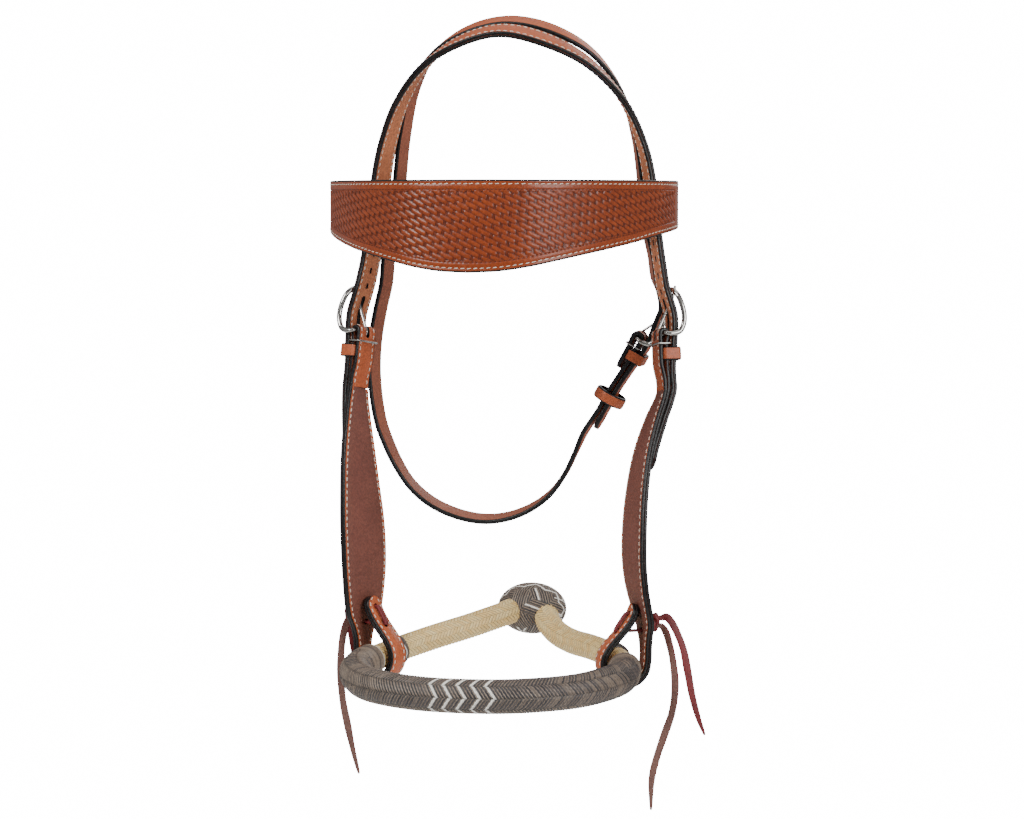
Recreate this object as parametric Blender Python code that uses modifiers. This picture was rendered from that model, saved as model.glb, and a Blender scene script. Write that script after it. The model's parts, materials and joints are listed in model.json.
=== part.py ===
"""A western bosal hackamore: braided noseband, headstall, browband and throatlatch.

Lengths in this file are in millimetres, and MM turns them into metres. The origin is the middle of the
crown strap's underside, +Z is up, -Y is the horse's front and +X its near (left) side.
A strap is a grid laid along a smooth path and thickened. A path row is (x, y, z, across x, y, z, half
width), where across points from the strap's front edge to its rear edge.
"""

import math

import bmesh
import bpy
import numpy as np
from mathutils import Matrix, Vector

MM = 0.001
GAP = 0.3  # between pieces that touch
NEAR, OFF = 1, -1
SIDES = (("near", NEAR), ("off", OFF))
BLADE_LEAN = {NEAR: (-5.0, -8.5, -9.0, -8.0, -6.5, -4.0), OFF: (0.0,) * 6}
BROW_WIDER = (0.0, 0.0, 0.0, 0.5, 1.5, 2.5, 3.5, 4.5, 5.0, 5.0, 4.0, 2.5, 1.0)
NOSE_HALF = [
    (0, -135, -466), (26, -132, -466), (50, -124, -465.5), (74, -106, -465), (89, -82, -464),
    (97.3, -55, -463), (96.8, -30, -461.5), (90.2, -8.5, -459.5),
]
SHANKS = {
    NEAR: [
        (77, 14, -456.5), (59, 37, -455), (41, 58, -454.5), (27, 74, -451), (17, 88, -445),
        (12.5, 101, -439), (11.5, 114, -437),
    ],
    OFF: [
        (77, 14, -455.5), (59, 37, -450.5), (41, 58, -446), (27, 74, -442), (17, 88, -439),
        (12.5, 101, -437.5), (11.5, 114, -437),
    ],
}

# Leather
STRAP_LAYER = 2.2  # each of the crown's two layers
CHEEK_LAYER = 2.4  # each of a cheekpiece's two layers
BROW_OUTER = 2.4
BROW_LINING = 2.0
THROAT_LEATHER = 3.5  # the throatlatch is one layer
KEEPER_LEATHER = 1.5
STRAP_HALF = 9.5  # half of a 19 mm strap
THROAT_HALF = 8.0
TAB_HALF = 8.0  # the hanger that goes round the noseband

# Crown strap: its tilt over the poll and its toe-in at the sides, in degrees
CROWN_TILT = 22.0
CHEEK_TOE_IN = 28.0
THROAT_TOE_IN = 20.0
HALF_FACET = 5.0  # half the flat in the middle of the crown

# Cheek buckles: the middle of the near bar, and how far the strap leans back there, in degrees
BAR = (113.1, 27.6, -220.0)
BAR_LEAN = 9.0
BAR_WIRE = 1.6
TONGUE_WIRE = 1.1
LOOP_WIRE = 0.7
TONGUE_ANGLE = 27.5  # between a tongue and its strap, in degrees
FRAME_SIDE = 12.8
FRAME_TOP = 33.0
FRAME_TOP_OUT = 9.0
FOLD_RADIUS = 3.15
FLAP_END = -42.0
BILLET_SLOT = (3.0, 27.5)

# Throat buckle
THROAT_BAR = (92.0, 58.0, -224.0)
THROAT_UP = (0.483, -0.02, 0.873)
THROAT_BAR_WIRE = 1.4
THROAT_TONGUE_WIRE = 1.0
THROAT_LOOP_WIRE = 0.6
THROAT_FRAME_SIDE = 10.8
THROAT_FRAME_TOP = 28.0
THROAT_FRAME_TOP_OUT = 8.3
THROAT_FOLD_RADIUS = 3.6
THROAT_SLOT = (3.0, 22.6)
SLOT_WIDTH = 3.6
THROAT_SLOT_WIDTH = 3.2
SLOT_ROOM = 0.6  # between a tongue's eye and the end of its slot
PIVOT = (57.0, -170.0)  # y and z of the line about which the throatlatch swings
SLIDING_KEEPER_AT = -50.0
SLIDING_KEEPER_RADIUS = 11.0
SLIDING_KEEPER_OUT = 2.2
SLIDING_KEEPER_LEATHER = 2.0
SLIDING_KEEPER_SIDES = 16

# Hangers: the middle of the near loop, its toe-in in degrees, and the heights of the lace holes in it
HANGER = (91.5, -8.0, -459.5)
HANGER_TOE_IN = 27.0
LACE_HOLES = (24.0, 36.5)
LACE_HOLE_RADIUS = 2.0
LACE_RADIUS = 1.5
TAIL_RADIUS = 2.2
KNOT_SIZE = (4.5, 3.2, 8.8)
KNOT_OUT = 24.5

# Noseband
CORE_RADIUS = 5.7
SHANK_RADIUS = 9.3
SHANK_WALL = 3.0
BUTTON_RADIUS = 12.2
SIDE_BUTTON_RADIUS = 11.5
NOSE_BUTTON_END = 12.0  # from the middle of the hanger forward
SIDE_BUTTON = (10.0, 20.0)  # from the middle of the hanger back
HEEL_KNOT = (0.0, 108.0, -437.0)
HEEL_KNOT_SIZE = (27.0, 19.0, 20.0)
HEEL_BORE = 9.9

# Middle lines of the hanging lace ends, from the knot to the tip
TAILS = {
    "near_lace_tail_short": [
        (118.0, 5.0, -427), (121.5, 5.2, -426.3), (125.5, 4.8, -430), (130, 4, -438), (134.5, 3, -449),
        (138, 2, -465), (141.5, 1.5, -483), (146, 1, -499), (151, 1, -512),
    ],
    "near_lace_tail_long": [
        (117.9, 5.0, -433), (121, 5.2, -437), (124.2, 5, -447), (127, 4.5, -460), (128.5, 4, -478),
        (126.5, 3, -496), (121, 2, -513), (115.5, 1, -530), (112, 0, -546), (111.5, 0, -569),
    ],
    "off_lace_tail_long": [
        (-117.9, 5.0, -433), (-121, 5.0, -438), (-124, 4.5, -449), (-125.5, 4, -468), (-124, 3, -494),
        (-119.5, 2, -516), (-115, 1, -535), (-110.5, 0, -551),
    ],
    "off_lace_tail_short": [
        (-118.0, 5.4, -427), (-120.3, 8, -428), (-121, 11.5, -434), (-120, 14, -447), (-118, 15, -463),
        (-116, 15.5, -478),
    ],
}

# Colours
TAN = (0.35, 0.065, 0.023)
BROWN = (0.13, 0.045, 0.032)
THONG = (0.16, 0.026, 0.03)
STEEL = (0.55, 0.54, 0.52)
RAWHIDE = (0.61, 0.40, 0.17)
BRAID = (0.08, 0.06, 0.05)


# ---------------------------------------------------------------- scene and materials

def clear():
    for item in list(bpy.data.objects):
        bpy.data.objects.remove(item, do_unlink=True)


def collection(name):
    found = bpy.data.collections.new(name)
    bpy.context.scene.collection.children.link(found)
    return found


def material(name, colour, roughness, metallic=0.0):
    made = bpy.data.materials.new(name)
    made.use_nodes = True
    shader = made.node_tree.nodes["Principled BSDF"]
    shader.inputs["Base Color"].default_value = (*colour, 1.0)
    shader.inputs["Roughness"].default_value = roughness
    shader.inputs["Metallic"].default_value = metallic
    return made


def add(name, data, finish, place=(0, 0, 0)):
    """A named object at a place given in metres."""
    made = bpy.data.objects.new(name, data)
    made.location = place
    parts.objects.link(made)
    data.materials.append(finish)
    return made


# ---------------------------------------------------------------- vectors and paths

def unit(v):
    v = np.array(v, float)
    return v / np.linalg.norm(v)


def flipped(points, side):
    """The points as they are for the near side, and mirrored for the off side."""
    points = np.array(points, float)
    points[..., 0] *= side
    return points


def toed_in(degrees):
    """Across and outward directions of an upright near-side strap with this toe-in."""
    a = math.radians(degrees)
    return np.array([-math.sin(a), math.cos(a), 0]), np.array([math.cos(a), math.sin(a), 0])


def leaning(origin, toe_in, lean):
    """Origin and axes (across, outward, up the strap) of a near-side strap that leans back."""
    across, out = toed_in(toe_in)
    t = math.radians(lean)
    up = math.cos(t) * np.array([0, 0, 1.0]) + math.sin(t) * across
    leant = math.cos(t) * across - math.sin(t) * np.array([0, 0, 1.0])
    return np.array(origin, float), leant, out, up


def place(frame, across, out, up):
    origin, a, n, u = frame
    return origin + a * across + n * out + u * up


def rows(points, across, half):
    """Path rows from points that share one across direction, or have one each."""
    points = np.array(points, float)
    across = np.broadcast_to(np.array(across, float), (len(points), 3))
    half = np.broadcast_to(np.array(half, float).reshape(-1, 1), (len(points), 1))
    return np.concatenate([points, across, half], axis=1)


def joined(off, near):
    """The off half, mirrored, and the near half, from the off end to the near one."""
    other = off[::-1].copy()
    other[:, [0, 3]] *= -1
    return np.concatenate([other, near])


def mirrored(path):
    return joined(path, path)


def smooth(path, fine=0.6):
    """Rows about fine apart on a smooth curve through the path's rows."""
    path = np.array(path, float)
    steps = np.linalg.norm(np.diff(path[:, :3], axis=0), axis=1)
    at = np.concatenate([[0], np.cumsum(np.sqrt(steps))])
    slope = np.gradient(path, at, axis=0)
    want = np.linspace(0, at[-1], int(steps.sum() / fine) + 2)
    i = np.clip(np.searchsorted(at, want, side="right") - 1, 0, len(at) - 2)
    h = (at[i + 1] - at[i])[:, None]
    t = (want - at[i])[:, None] / h
    start, end = path[i], path[i + 1]
    curve = start + t * t * (3 - 2 * t) * (end - start)
    return curve + h * t * (1 - t) * ((1 - t) * slope[i] - t * slope[i + 1])


def along(path):
    return np.concatenate([[0], np.cumsum(np.linalg.norm(np.diff(path[:, :3], axis=0), axis=1))])


def nearest(path, point):
    return int(np.linalg.norm(path[:, :3] - point, axis=1).argmin())


def thinned(path, step, miss=0.12, tips=(0.0, 0.0)):
    """The rows to build on: at most step apart, and close enough that the straight line between two of
    them misses no row by more than miss. A rounded tip, whose length tips gives for each end, has closer
    rows, and half widths that are rounded off."""
    far = along(path)
    left = far[-1] - far
    kept = [0]
    for i in range(1, len(path) - 1):
        start, end = path[kept[-1], :3], path[i + 1, :3]
        line = unit(end - start)
        skipped = path[kept[-1] + 1:i + 1, :3] - start
        off_line = np.linalg.norm(skipped - (skipped @ line)[:, None] * line, axis=1)
        near_tip = far[i] < tips[0] or left[i] < tips[1]
        space = 0.22 * max(tips) if near_tip else step
        if off_line.max() > miss or far[i + 1] - far[kept[-1]] > space:
            kept.append(i)
    kept.append(len(path) - 1)
    out = path[kept].copy()
    for tip, room in ((tips[0], far[kept]), (tips[1], left[kept])):
        if tip:
            share = np.clip((tip - room) / tip, 0, 1)
            out[:, 6] *= np.maximum(np.sqrt(1 - share**2), 0.16)
    return out


def sides_of(path):
    """Unit across and normal vectors at each row. The normal is path direction x across."""
    ahead = np.gradient(path[:, :3], axis=0)
    ahead /= np.linalg.norm(ahead, axis=1)[:, None]
    across = path[:, 3:6] - (path[:, 3:6] * ahead).sum(1)[:, None] * ahead
    across /= np.linalg.norm(across, axis=1)[:, None]
    return across, np.cross(ahead, across)


# ---------------------------------------------------------------- solids

def strap(name, path, thickness, finish, side=NEAR, offset=0.0, ring=False):
    """A strap of this thickness whose middle runs offset from the path. A ring closes on itself."""
    across, normal = sides_of(path)
    if ring:
        ends = unit(path[1, :3] - path[-2, :3])
        across[0] = across[-1] = unit(path[0, 3:6] - (path[0, 3:6] @ ends) * ends)
        normal[0] = normal[-1] = np.cross(ends, across[0])
    bm = bmesh.new()
    bmesh.ops.create_grid(bm, x_segments=len(path) - 1, y_segments=1, size=0.5)
    for v in bm.verts:
        i = round((v.co.x + 0.5) * (len(path) - 1))
        spot = path[i, :3] + across[i] * path[i, 6] * 2 * v.co.y + normal[i] * offset
        v.co = Vector(flipped(spot, side) * MM)
    if ring:
        bmesh.ops.remove_doubles(bm, verts=bm.verts, dist=0.00001)
    if side == OFF:
        bmesh.ops.reverse_faces(bm, faces=bm.faces)
    mesh = bpy.data.meshes.new(name)
    bm.to_mesh(mesh)
    bm.free()
    made = add(name, mesh, finish)
    solid = made.modifiers.new("thickness", "SOLIDIFY")
    solid.thickness = thickness * MM
    solid.offset = 0
    solid.use_even_offset = True
    return made


def curve(name, points, radius, side=NEAR, closed=False, resolution=2, caps=True):
    """The data of a round wire or tube along the points, about the first point's own place."""
    data = bpy.data.curves.new(name, "CURVE")
    data.dimensions = "3D"
    data.bevel_depth = radius * MM
    data.bevel_resolution = resolution
    data.use_fill_caps = caps
    spline = data.splines.new("POLY")
    spline.points.add(len(points) - 1)
    for target, p in zip(spline.points, flipped(points, side) * MM):
        target.co = (*p, 1)
    spline.use_cyclic_u = closed
    return data


def wire(name, points, radius, finish, side=NEAR, closed=False, about=(0, 0, 0), resolution=2):
    """A round wire whose object stands at about, given for the near side."""
    points = np.array(points, float)[:, :3] - np.array(about, float)
    data = curve(name, points, radius, side, closed, resolution)
    return add(name, data, finish, flipped(about, side) * MM)


def sleeve(name, points, radius, wall, finish, side=NEAR):
    """A tube open at both ends, wall thick inside its outer radius."""
    guide = bpy.data.objects.new("guide", curve("guide", points, radius, side, resolution=4, caps=False))
    bpy.context.scene.collection.objects.link(guide)
    seen = guide.evaluated_get(bpy.context.evaluated_depsgraph_get())
    made = add(name, bpy.data.meshes.new_from_object(seen), finish)
    bpy.data.objects.remove(guide, do_unlink=True)
    made.data.shade_smooth()
    solid = made.modifiers.new("wall", "SOLIDIFY")
    solid.thickness = wall * MM
    solid.offset = -1
    return made


def axes_matrix(centre, along_axis, out, size):
    """The matrix of a unit shape: X is out x along, Y is out, Z is along, with these full sizes."""
    z = Vector(unit(along_axis))
    y = Vector(unit(np.array(out) - (np.array(out) @ np.array(z)) * np.array(z)))
    turn = Matrix((y.cross(z), y, z)).transposed().to_4x4()
    return Matrix.Translation(Vector(centre) * MM) @ turn @ Matrix.Diagonal((*(Vector(size) * MM), 1))


def cutter(name, matrix, round_hole=False):
    bm = bmesh.new()
    if round_hole:
        bmesh.ops.create_cone(
            bm, cap_ends=True, segments=10, radius1=0.5, radius2=0.5, depth=1, matrix=matrix
        )
    else:
        bmesh.ops.create_cube(bm, size=1, matrix=matrix)
    mesh = bpy.data.meshes.new(name)
    bm.to_mesh(mesh)
    bm.free()
    made = bpy.data.objects.new(name, mesh)
    made.hide_render = True
    made.display_type = "WIRE"
    cutters.objects.link(made)
    return made


def cut(target, tool):
    step = target.modifiers.new(tool.name, "BOOLEAN")
    step.operation = "DIFFERENCE"
    step.object = tool


def flipped_axes(frame, side):
    return [flipped(v, side) for v in frame]


def slot(name, frame, side, low, high, out_low, out_high, width=SLOT_WIDTH):
    """A cutter for a slot along a strap, from low to high up the strap."""
    centre = place(frame, 0, (out_low + out_high) / 2, (low + high) / 2)
    _, _, out, up = flipped_axes(frame, side)
    size = (width, out_high - out_low, high - low)
    return cutter(name, axes_matrix(flipped(centre, side), up, out, size))


# ---------------------------------------------------------------- buckles

def rounded_loop(half_across, out_low, out_high, corner=2.0, steps=3):
    """(across, out) points round a rounded rectangle."""
    points = []
    middle = (out_low + out_high) / 2
    reach = (out_high - out_low) / 2
    for k, (sa, sn) in enumerate(((1, 1), (-1, 1), (-1, -1), (1, -1))):
        for j in range(steps + 1):
            turn = math.radians(90 * (k + j / steps))
            points.append((
                sa * (half_across - corner) + corner * math.cos(turn),
                middle + sn * (reach - corner) + corner * math.sin(turn),
            ))
    return points


def frame_outline(side_at, top_out, top, bar_wire):
    """(across, out, up) points of a buckle's wire, with its bar along across through the origin."""
    low = 0.35 * bar_wire
    half = [
        (side_at - 3.5, 0, 0), (side_at - 1.4, 0.5, 0), (side_at - 0.2, 2.4, -low), (side_at, 6, -low),
        (side_at, 0.74 * top_out + 4, 0.03 * top), (side_at, top_out + 4.3, 0.15 * top),
        (side_at, top_out + 5.5, 0.3 * top), (side_at - 0.2, top_out + 5.3, 0.48 * top),
        (side_at - 0.9, top_out + 4.1, 0.66 * top), (side_at - 2.4, top_out + 2.6, 0.82 * top),
        (side_at - 5, top_out + 1.1, 0.925 * top), (side_at - 8.6, top_out + 0.3, 0.985 * top),
    ]
    other = [(-a, n, u) for a, n, u in reversed(half)]
    return [*half, (0, top_out, top), *other]


def eye_points(radius):
    """(out, up) points round the bar, ending where the shank leaves it at a tangent."""
    t = math.radians(TONGUE_ANGLE)
    last = math.atan2(math.sin(t), -math.cos(t))
    return [
        (radius * math.cos(last + math.radians(turn)), radius * math.sin(last + math.radians(turn)))
        for turn in range(270, -1, -30)
    ]


def buckle(names, frame, side, sizes, finish):
    """The frame, tongue and wire loop of one buckle."""
    side_at, top_out, top, bar_wire, tongue_wire, loop_wire, loop = sizes
    bar = frame[0]
    outline = [place(frame, *p) for p in frame_outline(side_at, top_out, top, bar_wire)]
    wire(names[0], outline, bar_wire, finish, side, closed=True, about=bar)
    rest = bar_wire + tongue_wire + GAP
    eye = eye_points(rest)
    lean = np.array([math.sin(math.radians(TONGUE_ANGLE)), math.cos(math.radians(TONGUE_ANGLE))])
    root = np.array(eye[-1])
    shank = [root + lean * 0.28 * top, root + lean * 0.58 * top]
    shank += [(top_out + 0.55 * rest, 0.83 * top), (top_out + 1.06 * rest, 0.98 * top)]
    shank += [(top_out + 1.06 * rest + 0.9, top + 3.2)]
    path = [place(frame, 0, n, u) for n, u in [*eye, *shank]]
    wire(names[1], path, tongue_wire, finish, side, about=bar)
    loop_half, loop_low, loop_high, loop_up = loop
    path = [place(frame, a, n, loop_up) for a, n in rounded_loop(loop_half, loop_low, loop_high, 1.0)]
    wire(names[2], path, loop_wire, finish, side, closed=True, about=place(frame, 0, 0, loop_up))


def keeper(name, frame, side, half, out_low, out_high, low, high, finish):
    """A leather band round a strap, from low to high up the strap."""
    middle = (low + high) / 2
    loop = rounded_loop(half, out_low, out_high, 1.2)
    points = [place(frame, a, n, middle) for a, n in [*loop, loop[0]]]
    strap(name, rows(points, frame[3], (high - low) / 2), KEEPER_LEATHER, finish, side, ring=True)


# ---------------------------------------------------------------- the parts

def fold_rows(frame, inner, radius, outer, half):
    """Rows up the flap inside, over the bar, and down the outer run, from (out, up) points."""
    over = [
        (radius * math.cos(math.radians(turn)), radius * math.sin(math.radians(turn)))
        for turn in range(180, -1, -30)
    ]
    points = [place(frame, 0, n, u) for n, u in [*inner, *over, *outer]]
    return rows(points, frame[1], half)


def cheek_path(frame, side):
    """The middle of a cheekpiece's outer layer, from the flap's end to the tip of the hanger's tab."""
    inner = [(-1.4, FLAP_END), (-1.4, -34), (-3.3, -23), (-3.3, -8)]
    outer = [(1.6, -7), (1.3, -13), (1.3, -24), (1.3, FLAP_END)]
    top = fold_rows(frame, inner, FOLD_RADIUS, outer, STRAP_HALF)
    across, out = toed_in(CHEEK_TOE_IN)
    blade = [
        ((115.7, 15.0, -283), 12.4), ((113.4, 8.4, -306), 16.2), ((110.6, 2.4, -332), 19.4),
        ((108.0, -0.8, -360), 22.2), ((106.6, -2.2, -385), 22.6), ((106.4, -2.2, -405), 21.2),
    ]
    middle = np.concatenate([
        rows([(x + lean, y, z)], across, half) for ((x, y, z), half), lean in zip(blade, BLADE_LEAN[side])
    ])
    hanger = leaning(HANGER, HANGER_TOE_IN, 0)
    loop = [
        (17.85, 30, 17.0), (18.6, 21, 12.0), (18.9, 12, 8.8), (18.8, 2, TAB_HALF), (16.8, -7, TAB_HALF),
        (10.8, -13.8, TAB_HALF), (2, -16.6, TAB_HALF), (-7, -15.6, TAB_HALF), (-14, -10.2, TAB_HALF),
        (-17.6, -2, TAB_HALF), (-17, 5.5, TAB_HALF), (-13.5, 12, TAB_HALF), (-7.8, 18.6, TAB_HALF),
        (-1.8, 25, TAB_HALF), (3.2, 31.5, TAB_HALF), (6.4, 38, TAB_HALF), (7.6, 44, TAB_HALF),
    ]
    bottom = np.concatenate([rows([place(hanger, 0, n, u)], hanger[1], half) for n, u, half in loop])
    return smooth(np.concatenate([top, middle, bottom]))


def cheekpiece(prefix, side, tan, brown):
    frame = leaning(BAR, CHEEK_TOE_IN, BAR_LEAN)
    path = cheek_path(frame, side)
    outer = strap(f"{prefix}_cheek_outer", thinned(path, 14, tips=(0, 7)), CHEEK_LAYER, tan, side)
    start = nearest(path, place(frame, 0, 1.3, FLAP_END - 2.2))
    inner_path = thinned(path[start:], 14, tips=(0, 7))
    lining = strap(
        f"{prefix}_cheek_lining", inner_path, CHEEK_LAYER, brown, side, offset=-(CHEEK_LAYER + GAP)
    )
    ring_room = BAR_WIRE + 2 * TONGUE_WIRE + GAP + SLOT_ROOM
    cut(outer, slot(f"{prefix}_tongue_slot", frame, side, -ring_room, 6, -6, 6))
    hanger = leaning(HANGER, HANGER_TOE_IN, 0)
    for height in LACE_HOLES:
        centre = place(hanger, 0, 6, height)
        out = flipped(hanger[2], side)
        size = (2 * LACE_HOLE_RADIUS, 2 * LACE_HOLE_RADIUS, 40)
        matrix = axes_matrix(flipped(centre, side), out, (0, 0, 1), size)
        hole = cutter(f"{prefix}_lace_hole_{height:g}", matrix, round_hole=True)
        cut(outer, hole)
        cut(lining, hole)


def crown_half(side):
    """The middle between the crown's two layers, from its top to a billet's tip."""
    tilt = math.radians(CROWN_TILT)
    over = (0, math.cos(tilt), math.sin(tilt))
    across, out = toed_in(CHEEK_TOE_IN)
    frame = leaning(BAR, CHEEK_TOE_IN, BAR_LEAN)
    top = [
        ((0, 0, 2.5), over), ((30, 3, -4), over), ((60, 15, -20), (-0.16, 0.95, 0.3)),
        ((84, 30, -48), (-0.32, 0.93, 0.2)), ((97, 38, -80), (-0.42, 0.9, 0.1)),
        ((103, 40, -110), across), ((107, 39, -145), across), ((111.2, 36.8, -172), across),
    ]
    top = np.concatenate([rows([p], a, STRAP_HALF) for p, a in top])
    local = [
        (3.9, 34), (6.2, 25), (8.8, 14), (8.8, 4), (7.7, -5), (7.3, -10), (6.5, -16), (5.7, -23),
        (5.4, -32), (5.4, FLAP_END),
    ]
    middle = rows([place(frame, 0, n, u) for n, u in local], frame[1], STRAP_HALF)
    first, second, third = BLADE_LEAN[side][:3]
    blade = [
        (115.7 + first, 15.0, -283), (113.4 + second, 8.4, -306), (112.1 + (second + third) / 2, 5.6, -318),
    ]
    # the near billet bends with its cheek, so it needs a little more room
    away = CHEEK_LAYER / 2 + GAP + GAP / 2 + STRAP_LAYER + 0.1 - 0.09 * second
    bottom = rows(np.array(blade) + out * away, across, STRAP_HALF)
    half = smooth(np.concatenate([top, middle, bottom]))
    start = int(np.argmax(half[:, 0] >= HALF_FACET))
    return thinned(half[start:], 14, tips=(0, 9))


def crown_path():
    tilt = math.radians(CROWN_TILT)
    off, near = crown_half(OFF), crown_half(NEAR)
    off[0] = near[0]
    whole = joined(off, near)
    underside = whole[[len(off) - 1, len(off)], :3].mean(0)
    sag = np.array([0, -math.sin(tilt), math.cos(tilt)]) * (STRAP_LAYER + GAP / 2)
    near_apex = np.exp(-(whole[:, 0:1] / 60.0) ** 2) * (whole[:, 2:3] > -40)
    whole[:, :3] += (sag - underside) * near_apex
    return whole


def crown(tan, brown):
    path = crown_path()
    middle = (STRAP_LAYER + GAP) / 2
    outer = strap("crown_outer", path, STRAP_LAYER, tan, offset=middle)
    lining = strap("crown_lining", path, STRAP_LAYER, brown, offset=-middle)
    frame = leaning(BAR, CHEEK_TOE_IN, BAR_LEAN)
    for prefix, side in SIDES:
        hole = slot(f"{prefix}_billet_slot", frame, side, *BILLET_SLOT, 0, 14)
        cut(outer, hole)
        cut(lining, hole)


def throat_frame():
    up = unit(THROAT_UP)
    across = unit(np.array([0.04, 1, 0]) - (np.array([0.04, 1, 0]) @ up) * up)
    return np.array(THROAT_BAR, float), across, unit(np.cross(across, up)), up


def throatlatch(tan):
    """One strap in three stretches, so that the lower two can swing about the pivot."""
    tilt = math.radians(CROWN_TILT)
    over = (0, math.cos(tilt), math.sin(tilt))
    across, _ = toed_in(THROAT_TOE_IN)
    y, z = PIVOT
    top = [
        ((0, 19, 10.6), over), ((30, 22, 4.9), over), ((59, 33, -11.5), (-0.14, 0.95, 0.3)),
        ((78.5, 47.5, -39), (-0.25, 0.95, 0.2)), ((88.5, 56, -75), (-0.3, 0.95, 0.05)),
        ((93, 58.5, -110), across), ((97, 58, -145), across),
        ((99.6, y + 0.4, z + THROAT_HALF + 0.7), across),
    ]
    half = smooth(np.concatenate([rows([p], a, THROAT_HALF) for p, a in top]))
    strap("throatlatch_upper", mirrored(thinned(half[6:], 14)), THROAT_LEATHER, tan)

    frame = throat_frame()
    off_across = across * (-1, 1, 1)
    low = (0, math.cos(math.radians(15)), math.sin(math.radians(15)))
    hang = [
        ((-101, y, z - 0.3 + THROAT_HALF), off_across), ((-103, y - 0.3, z - 14), off_across),
        ((-107.5, y - 1.5, z - 35), off_across), ((-111, 54, -228), off_across),
        ((-111.5, 53, -255), (0.3, 0.95, 0)), ((-107, 53, -288), (0.25, 0.96, 0.05)),
        ((-101, 54.5, -306), (0.2, 0.97, 0.1)), ((-94, 57, -322), (0.12, 0.97, 0.15)),
        ((-84, 60, -338), low), ((-69, 62, -351), low), ((-49, 63.5, -360), low),
        ((-28, 64.5, -363.5), low),
        ((-9, 64.5, -361), low), ((9, 64, -353.5), low), ((24, 63.5, -342), (-0.05, 0.97, 0.2)),
        ((35, 63, -327), (-0.05, 0.98, 0.12)), ((43, 62, -311), (-0.04, 0.99, 0.08)),
        ((50, 61.3, -296), frame[1]), (place(frame, 0, 0, -62), frame[1]),
        (place(frame, 0, 0, -48), frame[1]),
    ]
    hang = np.concatenate([rows([p], a, THROAT_HALF) for p, a in hang])
    outer = [(1.6, -27), (2.75, -18), (2.9, -8)]
    over_bar = [
        (THROAT_FOLD_RADIUS * math.cos(turn), THROAT_FOLD_RADIUS * math.sin(turn))
        for turn in np.radians(range(0, 181, 30))
    ]
    inner = [(-2.95, -8), (-2.95, -18), (-2.7, -27)]
    fold = rows([place(frame, 0, n, u) for n, u in [*outer, *over_bar, *inner]], frame[1], THROAT_HALF)
    path = thinned(smooth(np.concatenate([hang, fold])), 14, tips=(THROAT_HALF, 6))
    drop = strap("throatlatch_drop", path, THROAT_LEATHER, tan)
    ring_room = THROAT_BAR_WIRE + 2 * THROAT_TONGUE_WIRE + GAP + SLOT_ROOM
    cut(drop, slot("throat_fold_slot", frame, NEAR, -ring_room, 6.5, -6.5, 6.5, THROAT_SLOT_WIDTH))

    local = [
        (4.6, 28), (6.0, 19), (7.4, 9), (8.5, 0), (8.6, -7), (7.3, -15), (5.9, -27), (4.6, -42),
        (4.3, -60),
        (4.3, -76),
    ]
    points = [(101, y, z - 0.3 + THROAT_HALF), (103.5, y, z - 9), (106.6, 57.2, -189)]
    points += [place(frame, 0, n, u) for n, u in local]
    turn = [across, across, unit(across + frame[1])] + [frame[1]] * len(local)
    path = thinned(smooth(rows(points, turn, THROAT_HALF)), 12, tips=(THROAT_HALF, 8))
    billet = strap("throatlatch_billet", path, THROAT_LEATHER, tan)
    cut(billet, slot("throat_billet_slot", frame, NEAR, *THROAT_SLOT, 0, 14, THROAT_SLOT_WIDTH))


def browband(tan, brown):
    """Two layers over the forehead, folded back round the crown and the throatlatch at each end."""
    top = -107.0
    plan = [
        (0, -118, 65), (20, -116.5, 64), (40, -112, 61), (58, -103, 57), (75, -90, 53), (91, -73, 49),
        (105, -52, 45), (116, -31, 41), (123.5, -9, 38), (126.5, 14, 36), (124, 38, 35), (117, 56, 35),
        (107, 68, 35), (96, 74.5, 35), (86, 73, 35), (80, 64, 35), (79, 48, 35), (82, 30, 35),
        (89, 12, 35),
        (98, -4, 35), (103.5, -18, 35), (102.5, -34, 35),
    ]
    halves = []
    for wider in (BROW_WIDER, (0.0,) * len(BROW_WIDER)):
        wider = (*wider, *[0.0] * (len(plan) - len(wider)))
        points = [(x + more, y, top - width / 2) for (x, y, width), more in zip(plan, wider)]
        half = smooth(rows(points, (0, 0, -1), [width / 2 for _, _, width in plan]))
        halves.append(thinned(half[6:], 13))
    off, near = halves
    off[0] = near[0]
    path = joined(off, near)
    strap("browband_outer", path, BROW_OUTER, tan, offset=BROW_OUTER / 2)
    strap(
        "browband_lining", path, BROW_LINING, brown, offset=BROW_OUTER + GAP + BROW_LINING / 2
    )


def laces(thong):
    hanger = leaning(HANGER, HANGER_TOE_IN, 0)
    low, high = LACE_HOLES
    out_end = KNOT_OUT - KNOT_SIZE[1] + 0.3
    staple = [
        (out_end, high), (4, high), (2, high - 0.2), (1, high - 1.3), (-5.6, low + 1.3),
        (-5.9, low + 0.4),
        (-4.8, low), (out_end, low),
    ]
    knot = place(hanger, 0, KNOT_OUT, (low + high) / 2)
    for prefix, side in SIDES:
        points = [place(hanger, 0, n, u) for n, u in staple]
        wire(f"{prefix}_lace", points, LACE_RADIUS, thong, side)
        bm = bmesh.new()
        matrix = axes_matrix(flipped(knot, side), (0, 0, 1), flipped(hanger[2], side), KNOT_SIZE)
        bmesh.ops.create_uvsphere(bm, u_segments=12, v_segments=8, radius=1, matrix=matrix)
        mesh = bpy.data.meshes.new(f"{prefix}_lace_knot")
        bm.to_mesh(mesh)
        bm.free()
        mesh.shade_smooth()
        add(f"{prefix}_lace_knot", mesh, thong)
    for name, route in TAILS.items():
        path = smooth(np.array(route, float))
        wire(name, path[np.linspace(0, len(path) - 1, 16).astype(int)], TAIL_RADIUS, thong)


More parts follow.
